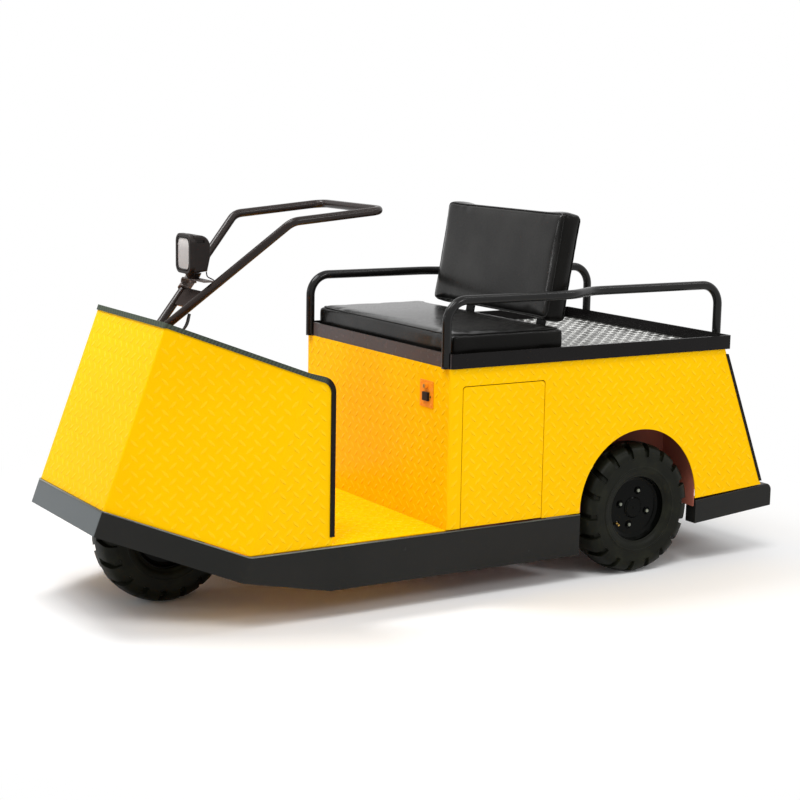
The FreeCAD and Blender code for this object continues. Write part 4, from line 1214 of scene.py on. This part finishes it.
@dataclass
class Pad:
    """Foam pad covered in vinyl: blown up by cloth pressure, then piped along its seams."""

    node: str
    name: str
    body: str = "chassis"
    shrink: float = 0.002
    voxel: float = 0.0065
    pressure: float = 4.0
    stiffness: float = 15.0
    frames: int = 20
    cap: float = 0.009
    piping: float = 0.0019
    seam_reach: float = 0.014
    seam_depth: float = 0.0016
    fill: float = 0.85
    smoothing: int = 4

    def start(self) -> bpy.types.Object:
        """Copy the pad's solid a little smaller and give it an even mesh.

        Returns:
            The plain pad.
        """
        bm = bmesh.new()
        bm.from_mesh(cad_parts[self.node].data)
        bmesh.ops.remove_doubles(bm, verts=bm.verts, dist=1e-5)
        low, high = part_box(self.node)
        middle = (low + high) / 2
        share = Vector([1 - 2 * self.shrink / side for side in high - low])
        for vert in bm.verts:
            vert.co = middle + (vert.co - middle) * share
        piece = in_scene(self.name, as_mesh(self.name, bm))
        remesh = piece.modifiers.new("even", "REMESH")
        remesh.mode = "VOXEL"
        remesh.voxel_size = self.voxel
        even = evaluated_mesh(piece)
        piece.modifiers.clear()
        piece.data = even
        return piece

    def blow_up(self, piece: bpy.types.Object) -> None:
        """Run the cloth pressure, keep each point within the cap and smooth the result.

        Args:
            piece: the plain pad, which is changed.
        """
        rest = [v.co.copy() for v in piece.data.vertices]
        cloth = piece.modifiers.new("cloth", "CLOTH").settings
        cloth.use_pressure = True
        cloth.uniform_pressure_force = self.pressure
        cloth.effector_weights.gravity = 0
        cloth.tension_stiffness = self.stiffness
        scene = bpy.context.scene
        for step in range(1, self.frames + 1):
            scene.frame_set(step)
        blown = evaluated_mesh(piece)
        piece.modifiers.clear()
        scene.frame_set(1)
        for vert, start in zip(blown.vertices, rest):
            move = vert.co - start
            if move.length > self.cap:
                vert.co = start + move * (self.cap / move.length)
        bm = bmesh.new()
        bm.from_mesh(blown)
        for _ in range(self.smoothing):
            bmesh.ops.smooth_vert(bm, verts=bm.verts, factor=0.5, use_axis_x=True, use_axis_y=True,
                                  use_axis_z=True)
        bm.to_mesh(blown)
        bm.free()
        piece.data = blown

    def settle(self, piece: bpy.types.Object) -> None:
        """Scale the pad back to the room that its solid holds.

        Args:
            piece: the pad, which is changed.
        """
        low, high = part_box(self.node)
        points = [v.co for v in piece.data.vertices]
        least = Vector([min(p[k] for p in points) for k in range(3)])
        most = Vector([max(p[k] for p in points) for k in range(3)])
        for vert in piece.data.vertices:
            for k in range(3):
                share = (vert.co[k] - least[k]) / (most[k] - least[k])
                vert.co[k] = low[k] + share * (high[k] - low[k])

    def swollen(self) -> bpy.types.Object:
        """Make the bare cover, blown up by the cloth pressure.

        Returns:
            The cover without its seams.
        """
        piece = self.start()
        self.blow_up(piece)
        self.settle(piece)
        return piece

    def seam(self, place: Callable[[float, float], Vector], half: tuple[float, float], corner: float,
             count: int) -> list[Vector]:
        """Walk round a rounded rectangle in even steps.

        Args:
            place: gives the point for two coordinates from the middle.
            half: the rectangle's two half sizes.
            corner: radius of its corners.
            count: number of points.

        Returns:
            The points in order.
        """
        u, v = half
        straight = 2 * (2 * u - 2 * corner) + 2 * (2 * v - 2 * corner)
        total = straight + TURN * corner
        return [place(*self.rounded(total * i / count, u, v, corner)) for i in range(count)]

    @staticmethod
    def rounded(s: float, u: float, v: float, corner: float) -> tuple[float, float]:
        """Follow a rounded rectangle for some length.

        Args:
            s: the length along it.
            u: its half size one way.
            v: its half size the other way.
            corner: radius of its corners.

        Returns:
            The point reached.
        """
        sides = ((2 * u - 2 * corner), (2 * v - 2 * corner)) * 2
        heading = ((1, 0), (0, 1), (-1, 0), (0, -1))
        starts = ((-u + corner, -v), (u, -v + corner), (u - corner, v), (-u, v - corner))
        quarter = math.pi * corner / 2
        for length, (dx, dy), (x, y) in zip(sides, heading, starts):
            if s <= length:
                return x + dx * s, y + dy * s
            s -= length
            if s <= quarter:
                angle = s / corner
                left = (-dy, dx)
                cx = x + dx * length + left[0] * corner
                cy = y + dy * length + left[1] * corner
                return (cx + dx * corner * math.sin(angle) - left[0] * corner * math.cos(angle),
                        cy + dy * corner * math.sin(angle) - left[1] * corner * math.cos(angle))
            s -= quarter
        return starts[0]

    def pipe(self, piece: bpy.types.Object, label: str, points: Sequence[Vector]) -> None:
        """Lay piping on the pad's surface and press a groove beside it.

        Args:
            piece: the pad, which is changed.
            label: last part of the piping's name.
            points: a closed line near the surface.
        """
        bm = bmesh.new()
        bm.from_mesh(piece.data)
        tree = BVHTree.FromBMesh(bm)
        bm.free()
        laid = []
        for point in points:
            near, normal, _, _ = tree.find_nearest(point)
            laid.append(near + normal * (self.piping * 0.35))
        smooth = [(laid[i - 1] + laid[i] * 2 + laid[(i + 1) % len(laid)]) / 4 for i in range(len(laid))]
        self.groove(piece, smooth)
        bm = bmesh.new()
        tube_along(bm, smooth, self.piping, 8, True)
        finished("%s_%s" % (self.name, label), bm, Finish.VINYL, self.body)

    def groove(self, piece: bpy.types.Object, line: Sequence[Vector]) -> None:
        """Pull the cover in along a seam line.

        Args:
            piece: the pad, which is changed.
            line: points of the seam.
        """
        tree = KDTree(len(line))
        for i, point in enumerate(line):
            tree.insert(point, i)
        tree.balance()
        for vert in piece.data.vertices:
            _, _, gap = tree.find(vert.co)
            if gap < self.seam_reach:
                vert.co -= vert.normal * (self.seam_depth * (1 - gap / self.seam_reach) ** 2)

    def dress(self, piece: bpy.types.Object) -> None:
        """Args:
            piece: the pad.
        """
        for poly in piece.data.polygons:
            poly.use_smooth = True
        piece.data.materials.clear()
        piece.data.materials.append(PALETTE.of(Finish.VINYL))
        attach(piece, self.body)
        Finish.VINYL.slot
        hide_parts(self.node)
        LOG.info("%-28s %7d faces on %s", self.name, len(piece.data.polygons), self.body)


@dataclass
class SeatCushion(Pad):
    """Flat-bottomed seat cushion with piping round its top edge."""

    node: str = "seat_cushion"
    name: str = "seat_cushion_cover"
    edge: float = 0.010
    below: float = 0.004
    corner: float = 0.018

    def build(self) -> bpy.types.Object:
        """Make the cushion and its piping.

        Returns:
            The cushion.
        """
        piece = self.swollen()
        low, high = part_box(self.node)
        middle = (low + high) / 2
        half = ((high.x - low.x) / 2 - self.edge, (high.y - low.y) / 2 - self.edge)
        height = high.z - self.below
        self.pipe(piece, "top_piping", self.seam(
            lambda u, v: Vector((middle.x + u, middle.y + v, height)), half, self.corner, 260))
        self.dress(piece)
        return piece


@dataclass
class BackrestPad(Pad):
    """Reclined backrest with piping round its front and rear faces."""

    node: str = "backrest_pad"
    name: str = "backrest_pad_cover"
    lean_from: tuple[float, float] = (-0.2875, 0.8115)
    lean_to: tuple[float, float] = (-0.3465, 1.139)
    thick: float = 0.072
    pressure: float = 2.5
    cap: float = 0.006
    smoothing: int = 8
    edge: float = 0.006
    below: float = 0.004
    corner: float = 0.02

    def build(self) -> bpy.types.Object:
        """Make the backrest and its piping.

        Returns:
            The backrest.
        """
        piece = self.swollen()
        low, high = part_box(self.node)
        foot = Vector((self.lean_from[0], 0, self.lean_from[1]))
        head = Vector((self.lean_to[0], 0, self.lean_to[1]))
        up = (head - foot).normalized()
        back = Vector((-up.z, 0, up.x))
        middle = (foot + head) / 2
        half = ((high.y - low.y) / 2 - self.edge, (head - foot).length / 2 - self.edge)
        for label, depth in (("front_piping", self.below), ("rear_piping", self.thick - self.below)):
            self.pipe(piece, label, self.seam(
                lambda u, v: middle + Vector((0, u, 0)) + up * v + back * depth, half, self.corner, 240))
        self.dress(piece)
        return piece


# ---------------------------------------------------------------- lamp and small fittings
@dataclass
class LampFront:
    """Domed fluted lens in the lamp's ring."""

    node: str = "lamp_lens"
    body: str = "steering"
    dome: float = 0.0025
    inset: float = 0.0045
    gasket_out: float = 0.0008
    flute: float = 0.0003
    corner: float = 5.0

    def reach(self, u: float, v: float) -> float:
        """Distance from the middle, as a rounded square measures it."""
        return (abs(u) ** self.corner + abs(v) ** self.corner) ** (1 / self.corner)

    def build(self) -> None:
        """Replace the plain lens."""
        low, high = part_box(self.node)
        middle = (low + high) / 2
        half = Vector(((high.y - low.y) / 2, (high.z - low.z) / 2))
        bm = bmesh.new()
        bmesh.ops.create_grid(bm, x_segments=28, y_segments=30, size=1.0)
        for vert in bm.verts:
            u, v = vert.co.x, vert.co.y
            reach = self.reach(u, v)
            pull = max(abs(u), abs(v)) / reach if reach > 1e-6 else 1.0
            u, v = u * pull, v * pull
            bulge = (1 - u * u) * (1 - v * v)
            flute = self.flute * math.cos(u * half.x * TURN / FLUTE_PITCH)
            vert.co = (high.x + bulge * self.dome + flute, middle.y + u * half.x, middle.z + v * half.y)
        for vert in new_verts(bmesh.ops.extrude_face_region(bm, geom=bm.faces)):
            vert.co.x = low.x + 0.0005
        piece = finished("lamp_lens_fluted", bm, Finish.LENS, self.body)
        sharpen(piece, 40)
        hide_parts(self.node)
        middle.x = high.x + self.gasket_out
        self.gasket(middle, half - Vector((self.inset, self.inset)) / 2)

    def gasket(self, middle: Vector, half: Vector) -> None:
        """Lay a rubber gasket over the lens's edge.

        Args:
            middle: its middle.
            half: its two half sizes.
        """
        ring = []
        for k in range(72):
            across, rise = math.cos(TURN * k / 72), math.sin(TURN * k / 72)
            reach = 1 / self.reach(across, rise)
            ring.append(middle + Vector((0, across * reach * half.x, rise * reach * half.y)))
        bm = bmesh.new()
        tube_along(bm, ring, self.inset / 2, 8, True)
        finished("lamp_gasket", bm, Finish.LAMP, self.body)


@dataclass
class LampStrap:
    """Bent strap that carries the lamp: flat over the arms, with one end wrapped round the right arm."""

    node: str = "lamp_bracket"
    lamp: str = "lamp_housing"
    body: str = "steering"
    top: float = 0.946
    thick: float = 0.004
    width: float = 0.032
    bend: float = 0.016
    bend_steps: int = 8
    shift: float = 0.009
    end_y: float = 0.088
    arm_foot: Vector = field(default_factory=lambda: Vector((0.861, -0.012, 0.796)))
    arm_head: Vector = field(default_factory=lambda: Vector((0.519, -0.186, 1.118)))
    arm_r: float = 0.0125
    sleeve: tuple[float, float] = (0.907, 0.947)
    post: tuple[float, float] = (0.017, 0.024)
    washer: tuple[float, float] = (0.0115, 0.0016)
    nut: tuple[float, float] = (0.0095, 0.0075)
    sleeve_lip: float = 0.0015

    def arm_at(self, height: float) -> Vector:
        """Point of the right arm's middle line at a height."""
        share = (height - self.arm_foot.z) / (self.arm_head.z - self.arm_foot.z)
        return self.arm_foot.lerp(self.arm_head, share)

    def strip(self, bm: bmesh.types.BMesh, x: float, end: float) -> None:
        """Add the flat part and its bent end.

        Args:
            bm: the bmesh that takes it.
            x: middle of its width.
            end: y of its bent end.
        """
        drop = self.bend
        line = [(x - self.width / 2, self.end_y, self.top), (x - self.width / 2, end + drop, self.top)]
        for k in range(1, self.bend_steps + 1):
            angle = math.radians(90.0 * k / self.bend_steps)
            line.append((x - self.width / 2, end + drop - drop * math.sin(angle),
                         self.top - drop * (1 - math.cos(angle))))
        draw_strip(bm, line, (self.width, 0, 0))
        bmesh.ops.recalc_face_normals(bm, faces=bm.faces)
        bmesh.ops.solidify(bm, geom=bm.faces[:], thickness=self.thick)

    def build(self) -> None:
        """Make the strap with its bolt and sleeve, and the lamp's tapered post."""
        low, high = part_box(self.lamp)
        x = (low.x + high.x) / 2
        foot, head = (self.arm_at(z) for z in self.sleeve)
        bm = bmesh.new()
        self.strip(bm, x - self.shift, foot.y)
        under = Vector((x, 0, self.top - self.thick))
        disc_on(bm, under, -UP, *self.washer, 20)
        disc_on(bm, under - UP * self.washer[1], -UP, *self.nut, 6, 0.0008)
        disc_on(bm, foot, (head - foot).normalized(), self.arm_r + self.thick + self.sleeve_lip,
                (head - foot).length, 28, self.sleeve_lip)
        # the strap's light brown finish is a painted reflection on black paint
        piece = finished("lamp_strap", bm, Finish.STRAP, self.body)
        sharpen(piece, 40)
        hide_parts(self.node)
        bm = bmesh.new()
        disc_on(bm, Vector((x, 0, self.top + 0.0001)), UP, self.post[0], low.z - self.top - 0.0004, 28,
                top_radius=self.post[1])
        sharpen(finished("lamp_foot", bm, Finish.LAMP, self.body), 40)


@dataclass
class SwitchFittings:
    """Screws of the switch plate, the key in its barrel and the rocker's frame.

    A screw or the barrel is given as its radius and height.
    """

    plate: str = "switch_plate"
    key: str = "key_switch"
    rocker: str = "rocker_switch"
    screw: tuple[float, float] = (0.0032, 0.0016)
    screw_in: float = 0.008
    rocker_screw: tuple[float, float] = (0.0028, 0.0014)
    rocker_reach: float = 0.0215
    barrel: tuple[float, float] = (0.0066, 0.0009)
    slot: tuple[float, float, float] = (0.0006, 0.0018, 0.0095)
    key_turn: float = 0.35

    def build(self) -> None:
        """Add the small parts on the pedestal's front."""
        low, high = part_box(self.plate)
        inset = self.screw_in
        bm = bmesh.new()
        for y in (low.y + inset, high.y - inset):
            for z in (low.z + inset, high.z - inset):
                disc_on(bm, Vector((high.x, y, z)), AHEAD, *self.screw, 14, 0.0008)
        finished("switch_plate_screws", bm, Finish.ORANGE, "chassis")
        rocker = middle_of(self.rocker)
        bm = bmesh.new()
        for sign in (-1, 1):
            spot = Vector((high.x, rocker.y + sign * self.rocker_reach, rocker.z))
            disc_on(bm, spot, AHEAD, *self.rocker_screw, 14, 0.0006)
        finished("rocker_screws", bm, Finish.LAMP, "chassis")
        key = middle_of(self.key)
        key.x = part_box(self.key)[1].x
        bm = bmesh.new()
        disc_on(bm, key, AHEAD, *self.barrel, 20, 0.0003)
        finished("key_barrel_face", bm, Finish.BRASS, "chassis")
        bm = bmesh.new()
        place = Matrix.Translation(key + AHEAD * 0.0010) @ Matrix.Rotation(self.key_turn, 4, "X")
        bmesh.ops.create_cube(bm, size=1.0, matrix=place @ Matrix.Diagonal((*self.slot, 1)))
        bmesh.ops.bevel(bm, geom=bm.edges[:], offset=0.0002, offset_type="OFFSET", segments=1, profile=0.5,
                        affect="EDGES", material=-1)
        finished("key_slot", bm, Finish.LAMP, "chassis", False)


@dataclass
class SkirtBead:
    """Rounded bead along the skirt's upper outer edge, coloured pale as a painted highlight."""

    radius: float = 0.0022
    half: float = 0.4327
    rear_x: float = -0.360
    corner_x: float = 0.772
    side_z: float = 0.2160
    nose_low: Vector = field(default_factory=lambda: Vector((1.1262, 0.2500, 0.3450)))
    nose: Vector = field(default_factory=lambda: Vector((1.1314, 0.2400, 0.3452)))

    def build(self) -> None:
        """Lay the bead from one wheel arch round the nose to the other."""
        round_off = 0.004
        left = [Vector((self.rear_x, self.half, self.side_z)),
                Vector((self.corner_x - round_off, self.half, self.side_z)),
                Vector((self.corner_x + round_off, self.half - 0.002, self.side_z + 0.0012)),
                self.nose_low, self.nose]
        right = [Vector((p.x, -p.y, p.z)) for p in reversed(left)]
        bm = bmesh.new()
        tube_along(bm, [p - UP * (self.radius * 0.6) for p in left + right], self.radius)
        # the bead's pale finish is a painted highlight along the skirt's top edge
        finished("front_skirt_bead", bm, Finish.WEAR_AND_HIGHLIGHT, "chassis")


@dataclass
class BumperCorner:
    """Bent strip inside the rear bumper's rounded upper edge, which closes the seam along it."""

    node: str = "rear_bumper"
    bend: float = 0.022
    recess: float = 0.0001
    thick: float = 0.003
    inset: float = 0.0052
    drop: float = 0.0220
    arc: tuple[float, float] = (100.0, 172.0)
    steps: int = 18

    def build(self) -> None:
        """Bend the strip round the edge's own centre line."""
        low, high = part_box(self.node)
        centre = Vector((low.x + self.bend, low.y + self.inset, high.z - self.drop))
        radius = self.bend - self.recess
        first, last = self.arc
        angles = [math.radians(first + (last - first) * k / self.steps) for k in range(self.steps + 1)]
        bm = bmesh.new()
        draw_strip(bm, [centre + on_circle(a) * radius for a in angles],
                   (0, high.y - low.y - 2 * self.inset, 0))
        for face in bm.faces:
            face.normal_update()
            if (face.calc_center_median() - centre).dot(face.normal) < 0:
                face.normal_flip()
        bmesh.ops.solidify(bm, geom=bm.faces[:], thickness=self.thick)
        sharpen(finished("rear_bumper_corner", bm, Finish.BLACK, "chassis"), 40)


# ---------------------------------------------------------------- stage
@dataclass(frozen=True)
class AreaLamp:
    """One rectangular lamp, given by how bright it looks, which sets its power."""

    name: str
    place: Point
    size: tuple[float, float]
    glow: float
    aim: Point
    along: Point = (1.0, 0.0, 0.0)

    def hang(self) -> None:
        """Put the lamp in its place, facing its aim, with its length following a direction."""
        data = bpy.data.lights.new(self.name, "AREA")
        data.shape = "RECTANGLE"
        data.size, data.size_y = self.size
        data.energy = self.glow * math.pi * self.size[0] * self.size[1]
        place, along = Vector(self.place), Vector(self.along)
        back = (place - Vector(self.aim)).normalized()
        side = (along - back * along.dot(back)).normalized()
        lamp = in_scene(self.name, data)
        lamp.matrix_world = Matrix.Translation(place) @ turned_to(side, back.cross(side), back)


@dataclass
class Studio:
    """Floor, plain soft light and the camera."""

    azimuth: float = math.radians(148.3436)
    elevation: float = math.radians(9.5586)
    roll: float = math.radians(1.0166)
    target: Vector = field(default_factory=lambda: Vector((0.0322, 0.0, 0.5367)))
    distance: float = 5.5625
    lens: float = 79.525
    sensor: float = 36.0
    sky: float = 0.48
    sun_from: Point = (0.36, 0.36, 0.86)
    sun_strength: float = 1.1
    sun_spread: float = math.radians(24)
    floor_fades: tuple[float, float] = (0.9, 2.1)
    lamps: tuple[AreaLamp, ...] = (
        AreaLamp("foot", (1.2, -0.6, 2.9), (1.2, 0.8), 15.0, (0.3, 0.1, 0.4)),
        AreaLamp("front", (5.6, -1.9, 2.3), (0.8, 0.8), 8.0, (0.3, 0.0, 0.6), (0.0, 1.0, 0.0)),
        AreaLamp("side", (-2.2, 6.2, 4.2), (1.2, 1.2), 16.0, (-0.2, 0.0, 0.6)),
        AreaLamp("rear_strip", (-2.9, 2.0, 4.9), (4.0, 0.3), 10.0, (-0.3, 0.4, 0.9)),
    )

    def camera(self) -> None:
        """Place the camera at the viewing angle."""
        a, e, r = self.azimuth, self.elevation, self.roll
        back = Vector((math.sin(a) * math.cos(e), -math.cos(a) * math.cos(e), math.sin(e)))
        right = Vector((math.cos(a), math.sin(a), 0))
        up = back.cross(right)
        across = right * math.cos(r) + up * math.sin(r)
        upright = up * math.cos(r) - right * math.sin(r)
        data = bpy.data.cameras.new("view")
        data.lens = self.lens
        data.sensor_width = self.sensor
        data.clip_start, data.clip_end = 0.05, 200.0
        camera = in_scene("view", data)
        turn = turned_to(across, upright, back)
        camera.matrix_world = Matrix.Translation(self.target + back * self.distance) @ turn
        bpy.context.scene.camera = camera

    def world(self) -> None:
        """Even grey light that shows as white behind the cart."""
        world = bpy.data.worlds.new("studio")
        world.use_nodes = True
        nodes = Nodes(world.node_tree)
        nodes.tree.nodes.clear()
        lit, seen = (nodes.value("ShaderNodeBackground", None, {"Color": WHITE, "Strength": strength})
                     for strength in (self.sky, 1.0))
        mixed = nodes.value("ShaderNodeMixShader", None, {0: nodes.background(), 1: lit, 2: seen})
        nodes.node("ShaderNodeOutputWorld", None, {"Surface": mixed})
        bpy.context.scene.world = world

    def sun(self) -> None:
        """Add the broad key light."""
        data = bpy.data.lights.new("key", "SUN")
        data.energy = self.sun_strength
        data.angle = self.sun_spread
        lamp = in_scene("key", data)
        lamp.rotation_mode = "QUATERNION"
        lamp.rotation_quaternion = (-Vector(self.sun_from)).to_track_quat("-Z", "Y")

    def floor(self) -> None:
        """Pale floor that takes the cart's shadow and turns into the white background further out."""
        bm = bmesh.new()
        bmesh.ops.create_grid(bm, x_segments=1, y_segments=1, size=60.0)
        floor = in_scene("floor", as_mesh("floor", bm))
        s = Shader("pale_floor")
        s.set(Base_Color=s.mix(s.noise(0.7, 2.0), (0.95, 0.95, 0.95), (0.97, 0.97, 0.97)), Roughness=0.9,
              Specular_IOR_Level=0.0)
        radius = (s.axis(0) * s.axis(0) + s.axis(1) * s.axis(1)).math("SQRT")
        share = radius.step(*self.floor_fades) * s.background()
        white = s.value("ShaderNodeEmission", None, {"Color": WHITE, "Strength": 1.0})
        mixed = s.value("ShaderNodeMixShader", None, {0: share, 1: Value(s, s.surface.outputs[0]), 2: white})
        s.feed(s.tree.nodes["Material Output"].inputs["Surface"], mixed)
        floor.data.materials.append(s.material)

    def build(self) -> None:
        """Set the stage."""
        self.camera()
        self.world()
        self.floor()
        self.sun()
        for lamp in self.lamps:
            lamp.hang()
        bpy.context.scene.view_settings.view_transform = "Standard"


# ---------------------------------------------------------------- the whole cart
class Cart:
    """All sub-assemblies in the order they are built."""

    def plates(self) -> Iterable[TreadPlate]:
        """Describe every sheet that carries tread lugs.

        Yields:
            Each sheet, ready to build.
        """
        yield TreadPlate("cowl_panel", "chassis", inside=Vector((0.62, 0.0, 0.42)),
                         covers=("cowl_edge_trim",))
        yield TreadPlate("pedestal_front_panel", "chassis", covers=("switch_plate", "floor_pan"))
        yield TreadPlate("rear_panel", "chassis")
        for side in ("left", "right"):
            yield TreadPlate("side_panel_" + side, "chassis", covers=("rear_edge_trim_" + side,))
            yield TreadPlate("access_door_" + side, "door_" + side)
        yield TreadPlate("floor_pan", "chassis", upward_only=True, inside=Vector((0.5, 0, 0.0)),
                         covers=("pedestal_front_panel", "cowl_panel", "front_wheel_house"))
        yield TreadPlate("deck_plate", "chassis", Finish.BARE_CREST, upward_only=True,
                         inside=Vector((-0.6, 0, 0.3)), height=0.0018)
        yield TreadPlate("seat_base", "chassis", Finish.BARE_CREST, upward_only=True,
                         inside=Vector((-0.1, 0, 0.3)), covers=("seat_cushion", "backrest_support"),
                         height=0.0018)

    def build(self) -> None:
        """Build every piece."""
        CarriedFinishes().dress()
        wheels = (("front_wheel", "front_tyre", "front_rim", 1),
                  ("rear_wheel_left", "rear_tyre_left", "rear_rim_left", 1),
                  ("rear_wheel_right", "rear_tyre_right", "rear_rim_right", -1))
        for plate in self.plates():
            plate.build()
        for body, tyre, _, _ in wheels:
            Tyre(tyre, body).build()
        for body, _, rim, out in wheels:
            WheelHardware(body, rim, out, through=body == "front_wheel").build()
        for piece in (SeatCushion(), BackrestPad(), LampFront(), LampStrap(), SwitchFittings(), SkirtBead(),
                      BumperCorner(), Studio()):
            piece.build()


def main() -> None:
    """Build the cart."""
    Cart().build()


if __name__ == "__main__":
    main()
